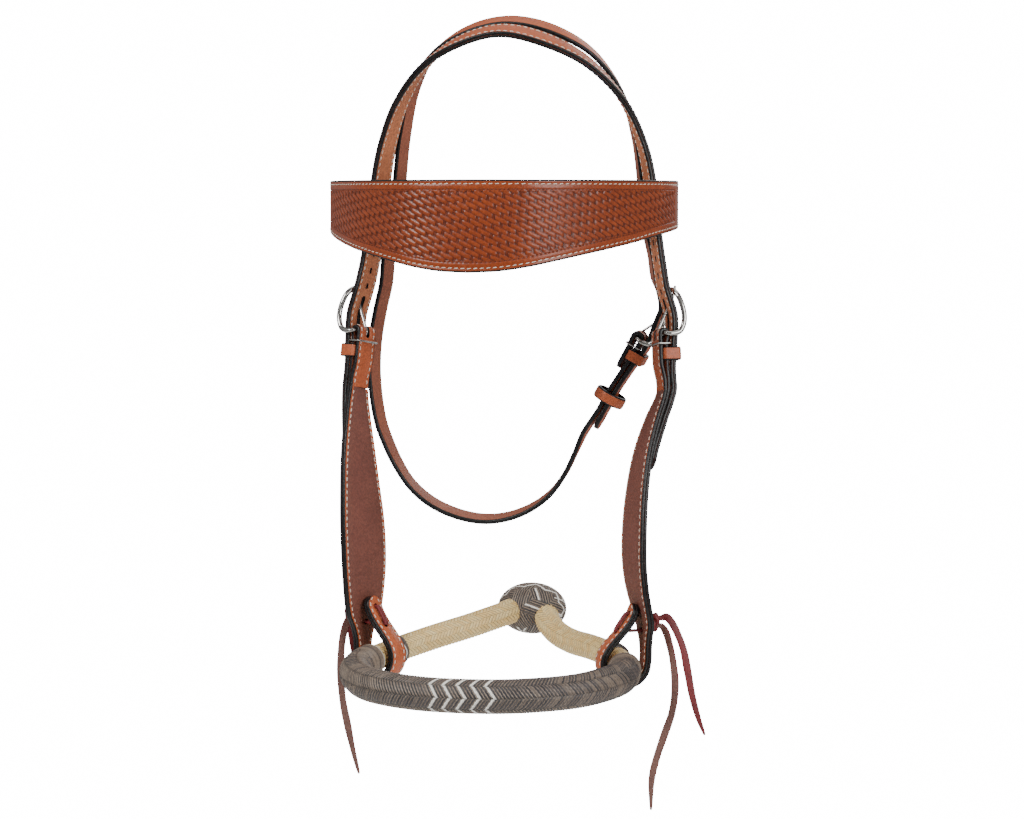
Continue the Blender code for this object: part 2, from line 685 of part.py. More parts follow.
def noseband(rawhide, braid):
    """The core, its plain braid, the three buttons and the heel knot."""
    halves = {side: smooth(np.array([*NOSE_HALF, *SHANKS[side]], float)) for _, side in SIDES}
    half = halves[NEAR]
    whole = np.concatenate([halves[OFF][::-1] * (-1, 1, 1), half[1:]])
    total = along(whole)
    middle = total[len(halves[OFF]) - 1]

    def stretch(start, end, step):
        want = np.linspace(start, end, round((end - start) / step) + 1)
        return np.stack([np.interp(want, total, whole[:, k]) for k in range(3)], axis=1)

    hung = along(half)[nearest(half, np.array(HANGER))]
    line = stretch(0, total[-1], 15)
    sleeve("shank_braid", line, SHANK_RADIUS, SHANK_WALL, rawhide)
    line[[0, -1]] = stretch(GAP, total[-1] - GAP, total[-1])
    wire("bosal_core", line, CORE_RADIUS, rawhide)
    reach = hung - NOSE_BUTTON_END
    wall = BUTTON_RADIUS - SHANK_RADIUS - 2 * GAP
    sleeve("nose_button", stretch(middle - reach, middle + reach, 14), BUTTON_RADIUS, wall, braid)
    wall = SIDE_BUTTON_RADIUS - SHANK_RADIUS - 2 * GAP
    for prefix, side in SIDES:
        far = along(halves[side])
        want = hung + np.linspace(*SIDE_BUTTON, 3)
        points = np.stack([np.interp(want, far, halves[side][:, k]) for k in range(3)], axis=1)
        sleeve(f"{prefix}_side_button", points, SIDE_BUTTON_RADIUS, wall, braid, side)

    bm = bmesh.new()
    matrix = Matrix.Translation(Vector(HEEL_KNOT) * MM)
    matrix @= Matrix.Diagonal((*(Vector(HEEL_KNOT_SIZE) * MM), 1))
    bmesh.ops.create_uvsphere(bm, u_segments=24, v_segments=14, radius=1, matrix=matrix)
    mesh = bpy.data.meshes.new("heel_knot")
    bm.to_mesh(mesh)
    bm.free()
    mesh.shade_smooth()
    knot = add("heel_knot", mesh, braid)
    for prefix, side in SIDES:
        half = halves[side]
        line = [*half[-60::6], half[-1] + (0, 1.5, 0)]
        bore = curve(f"{prefix}_heel_bore", line, HEEL_BORE, side, resolution=4)
        guide = bpy.data.objects.new("guide", bore)
        bpy.context.scene.collection.objects.link(guide)
        seen = guide.evaluated_get(bpy.context.evaluated_depsgraph_get())
        mesh = bpy.data.meshes.new_from_object(seen)
        bpy.data.objects.remove(guide, do_unlink=True)
        bm = bmesh.new()
        bm.from_mesh(mesh)
        bmesh.ops.remove_doubles(bm, verts=bm.verts, dist=0.00001)
        bmesh.ops.recalc_face_normals(bm, faces=bm.faces)
        bm.to_mesh(mesh)
        bm.free()
        tool = bpy.data.objects.new(f"{prefix}_heel_bore", mesh)
        tool.hide_render = True
        tool.display_type = "WIRE"
        cutters.objects.link(tool)
        cut(knot, tool)


def main():
    tan = material("tan_leather", TAN, 0.5)
    brown = material("brown_leather", BROWN, 0.75)
    thong = material("latigo_thong", THONG, 0.5)
    steel = material("stainless_steel", STEEL, 0.25, 1.0)
    rawhide = material("rawhide", RAWHIDE, 0.5)
    braid = material("dark_braid", BRAID, 0.6)

    crown(tan, brown)
    browband(tan, brown)
    throatlatch(tan)
    bar = leaning(BAR, CHEEK_TOE_IN, BAR_LEAN)
    loop = (STRAP_HALF + GAP + LOOP_WIRE, -5.6, 4.0, -7.5)
    sizes = (FRAME_SIDE, FRAME_TOP_OUT, FRAME_TOP, BAR_WIRE, TONGUE_WIRE, LOOP_WIRE, loop)
    for prefix, side in SIDES:
        cheekpiece(prefix, side, tan, brown)
        names = [f"{prefix}_cheek_{piece}" for piece in ("buckle", "tongue", "wire_loop")]
        buckle(names, bar, side, sizes, steel)
        half = STRAP_HALF + GAP + KEEPER_LEATHER / 2
        keeper(f"{prefix}_cheek_keeper", bar, side, half, -0.95, 11.0, -20, -10, tan)
    frame = throat_frame()
    loop = (THROAT_HALF + GAP + THROAT_LOOP_WIRE, -5.7, 5.7, -6.5)
    sizes = (
        THROAT_FRAME_SIDE, THROAT_FRAME_TOP_OUT, THROAT_FRAME_TOP, THROAT_BAR_WIRE, THROAT_TONGUE_WIRE,
        THROAT_LOOP_WIRE, loop,
    )
    buckle(["throat_buckle", "throat_tongue", "throat_wire_loop"], frame, NEAR, sizes, steel)
    half = THROAT_HALF + GAP + KEEPER_LEATHER / 2
    keeper("throat_keeper", frame, NEAR, half, -0.1, 11.6, -18, -9, tan)
    ring = []
    for k in range(SLIDING_KEEPER_SIDES + 1):
        turn = 2 * math.pi * k / SLIDING_KEEPER_SIDES
        across, out = SLIDING_KEEPER_RADIUS * math.cos(turn), SLIDING_KEEPER_RADIUS * math.sin(turn)
        ring.append(place(frame, across, SLIDING_KEEPER_OUT + out, SLIDING_KEEPER_AT))
    path = rows(ring, frame[3], 4.5)
    strap("throat_sliding_keeper", path, SLIDING_KEEPER_LEATHER, tan, ring=True)
    laces(thong)
    noseband(rawhide, braid)


clear()
parts = collection("bitless_hackamore")
cutters = collection("cutters")
main()
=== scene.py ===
"""The looks of the bitless hackamore: leather straps, stitching, tooling, braids, steel and laces.

A path row is (x, y, z, across x, y, z, half width), as in the CAD part, and near-side routes are
mirrored for the off side.
"""

import json
import math

import bmesh
import bpy
import numpy as np
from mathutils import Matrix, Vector

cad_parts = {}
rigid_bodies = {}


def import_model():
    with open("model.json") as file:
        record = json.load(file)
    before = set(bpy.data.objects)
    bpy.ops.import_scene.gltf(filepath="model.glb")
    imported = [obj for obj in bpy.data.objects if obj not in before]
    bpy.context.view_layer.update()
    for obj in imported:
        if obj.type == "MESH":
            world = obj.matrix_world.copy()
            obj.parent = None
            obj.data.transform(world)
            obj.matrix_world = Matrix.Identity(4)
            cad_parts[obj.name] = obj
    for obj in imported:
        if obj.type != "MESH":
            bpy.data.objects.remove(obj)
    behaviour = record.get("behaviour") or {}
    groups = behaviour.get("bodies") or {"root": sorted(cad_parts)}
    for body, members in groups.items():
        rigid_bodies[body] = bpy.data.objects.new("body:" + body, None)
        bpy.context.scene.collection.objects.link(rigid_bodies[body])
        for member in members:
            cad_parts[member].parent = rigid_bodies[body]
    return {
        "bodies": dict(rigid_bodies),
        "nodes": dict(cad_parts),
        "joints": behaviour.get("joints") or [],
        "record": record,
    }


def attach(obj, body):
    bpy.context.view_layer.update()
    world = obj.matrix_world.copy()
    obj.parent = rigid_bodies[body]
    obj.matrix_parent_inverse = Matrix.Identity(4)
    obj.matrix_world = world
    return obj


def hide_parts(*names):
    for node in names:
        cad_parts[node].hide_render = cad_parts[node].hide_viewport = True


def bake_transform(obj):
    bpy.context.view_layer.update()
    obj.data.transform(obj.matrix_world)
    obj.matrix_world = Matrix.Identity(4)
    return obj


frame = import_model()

MM = 0.001
GAP = 0.3
NEAR, OFF = 1, -1
SIDES = (("near", NEAR), ("off", OFF))
BLADE_LEAN = {NEAR: (-5.0, -8.5, -9.0, -8.0, -6.5, -4.0), OFF: (0.0,) * 6}
BROW_WIDER = (0.0, 0.0, 0.0, 0.5, 1.5, 2.5, 3.5, 4.5, 5.0, 5.0, 4.0, 2.5, 1.0)
NOSE_HALF = [
    (0, -135, -466), (26, -132, -466), (50, -124, -465.5), (74, -106, -465), (89, -82, -464),
    (97.3, -55, -463), (96.8, -30, -461.5), (90.2, -8.5, -459.5),
]
SHANKS = {
    NEAR: [
        (77, 14, -456.5), (59, 37, -455), (41, 58, -454.5), (27, 74, -451), (17, 88, -445),
        (12.5, 101, -439), (11.5, 114, -437),
    ],
    OFF: [
        (77, 14, -455.5), (59, 37, -450.5), (41, 58, -446), (27, 74, -442), (17, 88, -439),
        (12.5, 101, -437.5), (11.5, 114, -437),
    ],
}


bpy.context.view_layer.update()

STRAP_LAYER = 2.2
CHEEK_LAYER = 2.4
BROW_OUTER = 2.4
BROW_LINING = 2.0
THROAT_LEATHER = 3.5
KEEPER_LEATHER = 1.5
STRAP_HALF = 9.5
THROAT_HALF = 8.0
TAB_HALF = 8.0
CROWN_TILT = 22.0
CHEEK_TOE_IN = 28.0
THROAT_TOE_IN = 20.0
BAR = (113.1, 27.6, -220.0)
BAR_LEAN = 9.0
BAR_WIRE = 1.6
TONGUE_WIRE = 1.1
LOOP_WIRE = 0.7
TONGUE_ANGLE = 27.5
FRAME_SIDE = 12.8
FRAME_TOP = 33.0
FRAME_TOP_OUT = 9.0
FOLD_RADIUS = 3.15
FLAP_END = -42.0
BILLET_SLOT = (3.0, 27.5)
THROAT_BAR = (92.0, 58.0, -224.0)
THROAT_UP = (0.483, -0.02, 0.873)
THROAT_BAR_WIRE = 1.4
THROAT_TONGUE_WIRE = 1.0
THROAT_LOOP_WIRE = 0.6
THROAT_FRAME_SIDE = 10.8
THROAT_FRAME_TOP = 28.0
THROAT_FRAME_TOP_OUT = 8.3
THROAT_FOLD_RADIUS = 3.6
THROAT_SLOT = (3.0, 22.6)
SLOT_WIDTH = 3.6
THROAT_SLOT_WIDTH = 3.2
SLOT_ROOM = 0.6
PIVOT = (57.0, -170.0)
SLIDING_KEEPER_AT = -50.0
SLIDING_KEEPER_RADIUS = 11.0
SLIDING_KEEPER_OUT = 2.2
SLIDING_KEEPER_LEATHER = 2.0
HANGER = (91.5, -8.0, -459.5)
HANGER_TOE_IN = 27.0
LACE_HOLES = (24.0, 36.5)
LACE_HOLE_RADIUS = 2.0
KNOT_OUT = 24.5
SHANK_RADIUS = 9.3
BUTTON_RADIUS = 12.2
SIDE_BUTTON_RADIUS = 11.5
NOSE_BUTTON_END = 12.0
SIDE_BUTTON = (10.0, 20.0)
HEEL_KNOT = (0.0, 108.0, -437.0)
HEEL_KNOT_SIZE = (27.0, 19.0, 20.0)
LACE_WIDTH = 5.6
STITCH_PITCH = 4.9
BROW_STITCH_PITCH = 4.6
CHEEK_SEAM = 2.9
CROWN_SEAM = 2.6
BROW_SEAM = 3.0
BILLET_HOLE_PITCH = 12.5
BORDER_LINE = 6.9
TOOLED_END = 196.0
TAILS = {
    "near_lace_tail_short": [
        (118.0, 5.0, -427), (121.5, 5.2, -426.3), (125.5, 4.8, -430), (130, 4, -438),
        (134.5, 3, -449), (138, 2, -465), (141.5, 1.5, -483), (146, 1, -499), (151, 1, -512),
    ],
    "near_lace_tail_long": [
        (117.9, 5.0, -433), (121, 5.2, -437), (124.2, 5, -447), (127, 4.5, -460), (128.5, 4, -478),
        (126.5, 3, -496), (121, 2, -513), (115.5, 1, -530), (112, 0, -546), (111.5, 0, -569),
    ],
    "off_lace_tail_long": [
        (-117.9, 5.0, -433), (-121, 5.0, -438), (-124, 4.5, -449), (-125.5, 4, -468),
        (-124, 3, -494), (-119.5, 2, -516), (-115, 1, -535), (-110.5, 0, -551),
    ],
    "off_lace_tail_short": [
        (-118.0, 5.4, -427), (-120.3, 8, -428), (-121, 11.5, -434), (-120, 14, -447),
        (-118, 15, -463), (-116, 15.5, -478),
    ],
}


# ---------------------------------------------------------------- camera, light and floor

CAMERA_TURN = 12.0  # degrees towards the near side
CAMERA_RISE = 4.0
CAMERA_AWAY = 2.2
CAMERA_LENS = 103.1
LOOK_ASIDE, LOOK_DEEP, LOOK_HIGH = -0.0015, 0.04, -0.2779
SEEN_WHITE = 16.0
ROOM_BY_HEIGHT = [(0.0, 0.42), (0.38, 0.3), (0.55, 0.8), (0.8, 0.5)]
ROOM_BANDS = 7.0
DARKEST_BAND = 0.45
LAMPS = (
    ("key", (-1.0, -1.4, 0.75), 0.8, 27), ("fill", (1.45, -1.2, 0.25), 1.1, 25),
    ("top", (0.1, 0.1, 1.5), 1.2, 7), ("back", (0.5, 1.6, 0.5), 1.0, 5),
)
FLOOR_HALF = 1.15
FLOOR_HEIGHT = -0.95


def into_scene(name, data, spot=(0, 0, 0)):
    made = bpy.data.objects.new(name, data)
    made.location = spot
    bpy.context.scene.collection.objects.link(made)
    return made


def look_at(thing, target):
    ahead = Vector(target) - thing.location
    thing.rotation_euler = ahead.to_track_quat("-Z", "Y").to_euler()


def camera():
    turn, rise = math.radians(CAMERA_TURN), math.radians(CAMERA_RISE)
    deep = LOOK_DEEP + LOOK_ASIDE * math.sin(turn)
    target = Vector((LOOK_ASIDE * math.cos(turn), deep, LOOK_HIGH))
    flat = math.cos(rise)
    way = Vector((math.sin(turn) * flat, -math.cos(turn) * flat, math.sin(rise)))
    data = bpy.data.cameras.new("camera")
    data.lens = CAMERA_LENS
    data.sensor_width = 36.0
    data.clip_end = 50
    made = into_scene("camera", data, target + CAMERA_AWAY * way)
    look_at(made, target)
    bpy.context.scene.camera = made


def room():
    """A white backdrop, and the light of a soft room: bright above, with darker bands round the sides."""
    world = bpy.data.worlds.new("studio")
    world.use_nodes = True
    tree = world.node_tree
    seen = tree.nodes["Background"]
    seen.inputs["Color"].default_value = (1, 1, 1, 1)
    seen.inputs["Strength"].default_value = SEEN_WHITE
    around = tree.nodes.new("ShaderNodeTexCoord").outputs["Generated"]
    parts = node(tree, "ShaderNodeSeparateXYZ", [("Vector", around)])
    tall = ramp(tree, parts.outputs["Z"], ROOM_BY_HEIGHT)
    turn = node(tree, "ShaderNodeMath", [(0, parts.outputs["X"])], operation="MULTIPLY")
    turn.inputs[1].default_value = ROOM_BANDS
    wave = node(tree, "ShaderNodeMath", [(0, turn.outputs["Value"])], operation="COSINE")
    bands = node(tree, "ShaderNodeMapRange", [("Value", wave.outputs["Value"])])
    bands.inputs["From Min"].default_value = -1.0
    bands.inputs["To Min"].default_value = DARKEST_BAND
    light = mixed(tree, 1.0, tall, bands.outputs["Result"], "MULTIPLY")
    lit = node(tree, "ShaderNodeBackground", [("Color", light)])
    straight = tree.nodes.new("ShaderNodeLightPath")
    either = node(tree, "ShaderNodeMixShader", [("Fac", straight.outputs["Is Camera Ray"])])
    tree.links.new(lit.outputs["Background"], either.inputs[1])
    tree.links.new(seen.outputs["Background"], either.inputs[2])
    tree.links.new(either.outputs["Shader"], tree.nodes["World Output"].inputs["Surface"])
    bpy.context.scene.world = world


def studio():
    camera()
    room()
    for name, spot, size, power in LAMPS:
        data = bpy.data.lights.new(name, "AREA")
        data.shape = "DISK"
        data.size = size
        data.energy = power
        look_at(into_scene(name, data, spot), (0, 0, -0.28))
    mesh = bpy.data.meshes.new("floor")
    far = FLOOR_HALF
    corners = [(-far, -far, 0), (far, -far, 0), (far, far, 0), (-far, far, 0)]
    mesh.from_pydata(corners, [], [(0, 1, 2, 3)])
    mesh.materials.append(shading("floor_paper", (0.93, 0.93, 0.93), 0.9, shine=0.1)[0])
    into_scene("floor", mesh, (0, 0, FLOOR_HEIGHT))


# ---------------------------------------------------------------- materials

def shading(name, colour, roughness, metallic=0.0, shine=0.5):
    made = bpy.data.materials.new(name)
    made.use_nodes = True
    tree = made.node_tree
    shader = tree.nodes["Principled BSDF"]
    shader.inputs["Base Color"].default_value = (*colour, 1)
    shader.inputs["Roughness"].default_value = roughness
    shader.inputs["Metallic"].default_value = metallic
    shader.inputs["Specular IOR Level"].default_value = shine
    made.diffuse_color = (*colour, 1)
    return made, shader, tree


def node(tree, kind, links=(), **settings):
    """A node with its links. Settings are attributes, or inputs where the name starts with in_."""
    made = tree.nodes.new(kind)
    for key, value in settings.items():
        if key.startswith("in_"):
            made.inputs[key[3:].replace("_", " ")].default_value = value
        else:
            setattr(made, key, value)
    for socket, source in links:
        tree.links.new(source, made.inputs[socket])
    return made


def on_object(tree):
    return tree.nodes.new("ShaderNodeTexCoord").outputs["Object"]


def noise(tree, scale, detail, roughness=0.5):
    made = node(
        tree, "ShaderNodeTexNoise", [("Vector", on_object(tree))],
        in_Scale=scale, in_Detail=detail, in_Roughness=roughness,
    )
    return made.outputs["Fac"]


def own(tree, name):
    return node(tree, "ShaderNodeAttribute", attribute_name=name).outputs["Fac"]


def mixed(tree, share, first, second, blend="MIX"):
    """A colour mix. First and second are colours or sockets."""
    made = tree.nodes.new("ShaderNodeMix")
    made.data_type = "RGBA"
    made.blend_type = blend
    for index, value in ((0, share), (6, first), (7, second)):
        if isinstance(value, bpy.types.NodeSocket):
            tree.links.new(value, made.inputs[index])
        elif index == 0:
            made.inputs[0].default_value = value
        else:
            made.inputs[index].default_value = (*value, 1)
    return made.outputs[2]


def ramp(tree, source, stops):
    made = tree.nodes.new("ShaderNodeValToRGB")
    tree.links.new(source, made.inputs["Fac"])
    while len(made.color_ramp.elements) < len(stops):
        made.color_ramp.elements.new(0.5)
    for element, (at, level) in zip(made.color_ramp.elements, stops):
        element.position = at
        element.color = (level, level, level, 1) if isinstance(level, (int, float)) else (*level, 1)
    return made.outputs["Color"]


def roughened(tree, shader, source, low, high):
    made = node(tree, "ShaderNodeMapRange", [("Value", source)], in_To_Min=low, in_To_Max=high)
    tree.links.new(made.outputs["Result"], shader.inputs["Roughness"])


def bumped(tree, shader, height, strength, distance):
    bump = node(
        tree, "ShaderNodeBump", [("Height", height)], in_Strength=strength, in_Distance=distance
    )
    tree.links.new(bump.outputs["Normal"], shader.inputs["Normal"])


def leather(
    name, colour, dark, roughness=0.42, pores=1500.0, relief=0.3, coat=0.0, recess_shade=None, shine=0.5
):
    """Leather with blotches, specks, pores and fine creases. A colour given for the lows is painted shade,
    multiplied into the low relief, and the high relief is lightened as a painted highlight.
    """
    made, shader, tree = shading(name, colour, roughness, shine=shine)
    fine = noise(tree, 520.0, 5.0, 0.65)
    cells = node(tree, "ShaderNodeTexVoronoi", [("Vector", on_object(tree))], in_Scale=pores)
    cells = cells.outputs["Distance"]
    blotch = ramp(tree, noise(tree, 32.0, 4.0, 0.6), [(0.35, 0.0), (0.7, 0.55)])
    base = mixed(tree, blotch, colour, dark)
    speck = ramp(tree, fine, [(0.42, 0.72), (0.62, 1.08)])
    base = mixed(tree, 0.8, base, speck, "MULTIPLY")
    pore = ramp(tree, cells, [(0.0, 0.72), (0.35, 1.0)])
    base = mixed(tree, 0.55, base, pore, "MULTIPLY")
    # painted shade in the hollows of the relief, and a painted highlight on its raised tops
    if recess_shade is not None:
        stops = [(0.0, recess_shade), (0.6, (0.85, 0.82, 0.8)), (1.0, (1.2, 1.2, 1.2))]
        base = mixed(tree, 1.0, base, ramp(tree, own(tree, "relief"), stops), "MULTIPLY")
    tree.links.new(base, shader.inputs["Base Color"])
    roughened(tree, shader, fine, roughness - 0.1, roughness + 0.14)
    shader.inputs["Coat Weight"].default_value = coat
    shader.inputs["Coat Roughness"].default_value = 0.22
    both = node(tree, "ShaderNodeMath", [(0, fine), (1, cells)], operation="ADD")
    bumped(tree, shader, both.outputs["Value"], relief, 0.0003)
    return made


def one_noise(name, plain, texture, stops, rough=None, bump=None):
    """A material whose colour, and roughness and bump where given, follow one noise."""
    made, shader, tree = shading(name, **plain)
    source = noise(tree, *texture)
    tree.links.new(ramp(tree, source, stops), shader.inputs["Base Color"])
    if rough:
        roughened(tree, shader, source, *rough)
    if bump:
        bumped(tree, shader, source, *bump)
    return made


def strands(name, stops, roughness):
    """A braid: each strand's colour comes from its faces' tone, and the relief darkens the grooves between
    strands as painted shade.
    """
    made, shader, tree = shading(name, stops[len(stops) // 2][1], roughness)
    fine = noise(tree, 900.0, 4.0, 0.6)
    colour = ramp(tree, own(tree, "tone"), stops)
    # painted shade: the low relief between strands is darkened
    groove_shade = ramp(tree, own(tree, "relief"), [(0.0, 0.32), (0.6, 1.0)])
    speck = ramp(tree, fine, [(0.35, 0.7), (0.65, 1.1)])
    colour = mixed(tree, 1.0, mixed(tree, 1.0, colour, groove_shade, "MULTIPLY"), speck, "MULTIPLY")
    tree.links.new(colour, shader.inputs["Base Color"])
    bumped(tree, shader, fine, 0.25, 0.0003)
    return made


def make_materials():
    return {
        "tan": leather(
            "tan_grain", (0.55, 0.125, 0.044), (0.38, 0.078, 0.026), coat=0.1, shine=0.3
        ),
        # tooled leather: painted shade in the stamped hollows and a painted highlight on the raised tops
        "tooled": leather(
            "tooled_grain", (0.25, 0.042, 0.007), (0.175, 0.025, 0.004), 0.36, coat=0.34,
            recess_shade=(0.2, 0.12, 0.09), shine=0.25,
        ),
        "backing": leather(
            "tan_backing", (0.58, 0.19, 0.078), (0.36, 0.105, 0.042), 0.66, 2300.0, 0.7
        ),
        "brown": leather(
            "brown_lining", (0.205, 0.062, 0.04), (0.135, 0.038, 0.025), 0.6, 1300.0, 0.5
        ),
        "flesh": leather(
            "brown_flesh", (0.34, 0.1, 0.05), (0.22, 0.058, 0.03), 0.5, 1700.0, 0.3
        ),
        "red": leather(
            "red_latigo", (0.2, 0.018, 0.02), (0.1, 0.009, 0.012), 0.5, 1600.0, 0.35
        ),
        "greyed": leather(
            "greyed_latigo", (0.19, 0.088, 0.066), (0.12, 0.05, 0.04), 0.6, 1900.0, 0.5
        ),
        "core": leather("twisted_rawhide", (0.5, 0.34, 0.15), (0.36, 0.22, 0.09), 0.6, 900.0, 0.5),
        # black burnished edge paint, with a faint wrinkle along it
        "edge": one_noise(
            "black_edge", dict(colour=(0.004, 0.004, 0.004), roughness=0.33, shine=0.35),
            (360.0, 5.0, 0.6), [(0.4, (0.0025, 0.0025, 0.0025)), (0.8, (0.014, 0.012, 0.012))],
            rough=(0.2, 0.55), bump=(0.55, 0.0006),
        ),
        "thread": one_noise(
            "cream_thread", dict(colour=(0.72, 0.62, 0.5), roughness=0.6), (1800.0, 2.0),
            [(0.3, (0.5, 0.36, 0.27)), (0.65, (0.83, 0.76, 0.66))], bump=(0.4, 0.0002),
        ),
        "steel": one_noise(
            "polished_steel", dict(colour=(0.42, 0.41, 0.39), roughness=0.14, metallic=1.0),
            (150.0, 3.0, 0.5), [(0.35, (0.34, 0.33, 0.31)), (0.65, (0.5, 0.485, 0.46))],
            rough=(0.08, 0.22),
        ),
        "rawhide": strands(
            "rawhide_braid",
            [(0.0, (0.6, 0.36, 0.11)), (0.5, (0.87, 0.58, 0.21)), (1.0, (0.98, 0.79, 0.4))], 0.42,
        ),
        "dark": strands(
            "dark_braid",
            [
                (0.0, (0.022, 0.02, 0.023)), (0.42, (0.064, 0.053, 0.051)),
                (0.62, (0.185, 0.138, 0.104)), (0.86, (0.31, 0.24, 0.18)),
                (0.93, (0.95, 0.91, 0.83)),
            ],
            0.5,
        ),
    }


def materials(keys):
    return [M[key] for key in keys.split()]


# ---------------------------------------------------------------- vectors and paths

def unit(v):
    v = np.array(v, float)
    return v / np.linalg.norm(v, axis=-1, keepdims=True)


def square_to(v, way):
    """The part of v that is square to way, a unit vector, at length 1. Either can be one vector or rows."""
    v = np.array(v, float)
    return unit(v - (v * way).sum(-1, keepdims=True) * way)


def flipped(points, side):
    points = np.array(points, float)
    points[..., 0] *= side
    return points


def toed_in(degrees):
    a = math.radians(degrees)
    return np.array([-math.sin(a), math.cos(a), 0]), np.array([math.cos(a), math.sin(a), 0])


def leaning(origin, toe_in, lean):
    across, out = toed_in(toe_in)
    t = math.radians(lean)
    up = math.cos(t) * np.array([0, 0, 1.0]) + math.sin(t) * across
    leant = math.cos(t) * across - math.sin(t) * np.array([0, 0, 1.0])
    return np.array(origin, float), leant, out, up


def place(frame, across, out, up):
    origin, a, n, u = frame
    return origin + a * across + n * out + u * up


def rows(points, across, half):
    points = np.array(points, float)
    across = np.broadcast_to(np.array(across, float), (len(points), 3))
    half = np.broadcast_to(np.array(half, float).reshape(-1, 1), (len(points), 1))
    return np.concatenate([points, across, half], axis=1)


def joined(off, near):
    """The off half, mirrored, and the near half, from the off end to the near one."""
    other = off[::-1].copy()
    other[:, [0, 3]] *= -1
    return np.concatenate([other, near])


def smooth(path, fine=0.6):
    """Rows about fine apart on a smooth curve through the path's rows."""
    path = np.array(path, float)
    steps = np.linalg.norm(np.diff(path[:, :3], axis=0), axis=1)
    at = np.concatenate([[0], np.cumsum(np.sqrt(steps))])
    slope = np.gradient(path, at, axis=0)
    want = np.linspace(0, at[-1], int(steps.sum() / fine) + 2)
    i = np.clip(np.searchsorted(at, want, side="right") - 1, 0, len(at) - 2)
    h = (at[i + 1] - at[i])[:, None]
    t = (want - at[i])[:, None] / h
    start, end = path[i], path[i + 1]
    curve = start + t * t * (3 - 2 * t) * (end - start)
    return curve + h * t * (1 - t) * ((1 - t) * slope[i] - t * slope[i + 1])


def along(path):
    return np.concatenate([[0], np.cumsum(np.linalg.norm(np.diff(path[:, :3], axis=0), axis=1))])


def nearest(path, point):
    return int(np.linalg.norm(path[:, :3] - point, axis=1).argmin())


def thinned(path, step, miss=0.03, tips=(0.0, 0.0)):
    """Rows at most step apart and within miss of the path, with round tips of the lengths given."""
    far = along(path)
    left = far[-1] - far
    kept = [0]
    for i in range(1, len(path) - 1):
        start, end = path[kept[-1], :3], path[i + 1, :3]
        line = unit(end - start)
        skipped = path[kept[-1] + 1:i + 1, :3] - start
        off_line = np.linalg.norm(skipped - (skipped @ line)[:, None] * line, axis=1)
        near_tip = far[i] < tips[0] or left[i] < tips[1]
        space = 0.08 * max(tips) if near_tip else step
        if off_line.max() > miss or far[i + 1] - far[kept[-1]] > space:
            kept.append(i)
    kept.append(len(path) - 1)
    out = path[kept].copy()
    for tip, room in ((tips[0], far[kept]), (tips[1], left[kept])):
        if tip:
            share = np.clip((tip - room) / tip, 0, 1)
            out[:, 6] *= np.maximum(np.sqrt(1 - share**2), 0.16)
    return out


def sides_of(path, ring=False):
    """Unit across and normal vectors at each row. The normal is path direction x across."""
    ahead = np.gradient(path[:, :3], axis=0)
    if ring:
        ahead[0] = ahead[-1] = path[1, :3] - path[-2, :3]
    ahead = unit(ahead)
    across = square_to(path[:, 3:6], ahead)
    return across, np.cross(ahead, across)


# ---------------------------------------------------------------- meshes

def made_piece(name, points, faces, finishes, which=None, crease=50):
    mesh = bpy.data.meshes.new(name)
    mesh.from_pydata((np.asarray(points) * MM).tolist(), [], faces)
    for finish in finishes:
        mesh.materials.append(finish)
    if which is not None:
        mesh.polygons.foreach_set("material_index", np.asarray(which, np.int32))
    mesh.shade_smooth()
    mesh.set_sharp_from_angle(angle=math.radians(crease))
    return into_scene(name, mesh)


def turned_out(made):
    """The piece with every face wound to look outward."""
    bm = bmesh.new()
    bm.from_mesh(made.data)
    bmesh.ops.recalc_face_normals(bm, faces=bm.faces)
    bm.to_mesh(made.data)
    bm.free()
    return made


def marked(made, tone, relief):
    """The tone of each face and the relief of each point. The braid and tooled materials darken low relief
    as painted shade.
    """
    for name, domain, values in (("tone", "FACE", tone), ("relief", "POINT", relief)):
        if values is not None:
            layer = made.data.attributes.new(name, "FLOAT", domain)
            layer.data.foreach_set("value", values.astype(np.float32))
    return made


def joined_to(made, body, slot, *nodes):
    """The piece rides on a body, and stands for CAD nodes, which it hides. Its slot is not used."""
    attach(made, body)
    if nodes:
        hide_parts(*nodes)
    return made


def lattice(lines, columns, wrap_lines=False, wrap_columns=True):
    i = np.arange(lines if wrap_lines else lines - 1)[:, None]
    j = np.arange(columns if wrap_columns else columns - 1)[None, :]
    a, b = i * columns, (i + 1) % lines * columns
    k = (j + 1) % columns
    return np.stack(np.broadcast_arrays(a + j, b + j, b + k, a + k), axis=-1).reshape(-1, 4)


def end_caps(lines, columns):
    """The first and the last line of a lattice as faces."""
    last = (lines - 1) * columns
    return [list(range(columns)), list(range(last, last + columns))[::-1]]


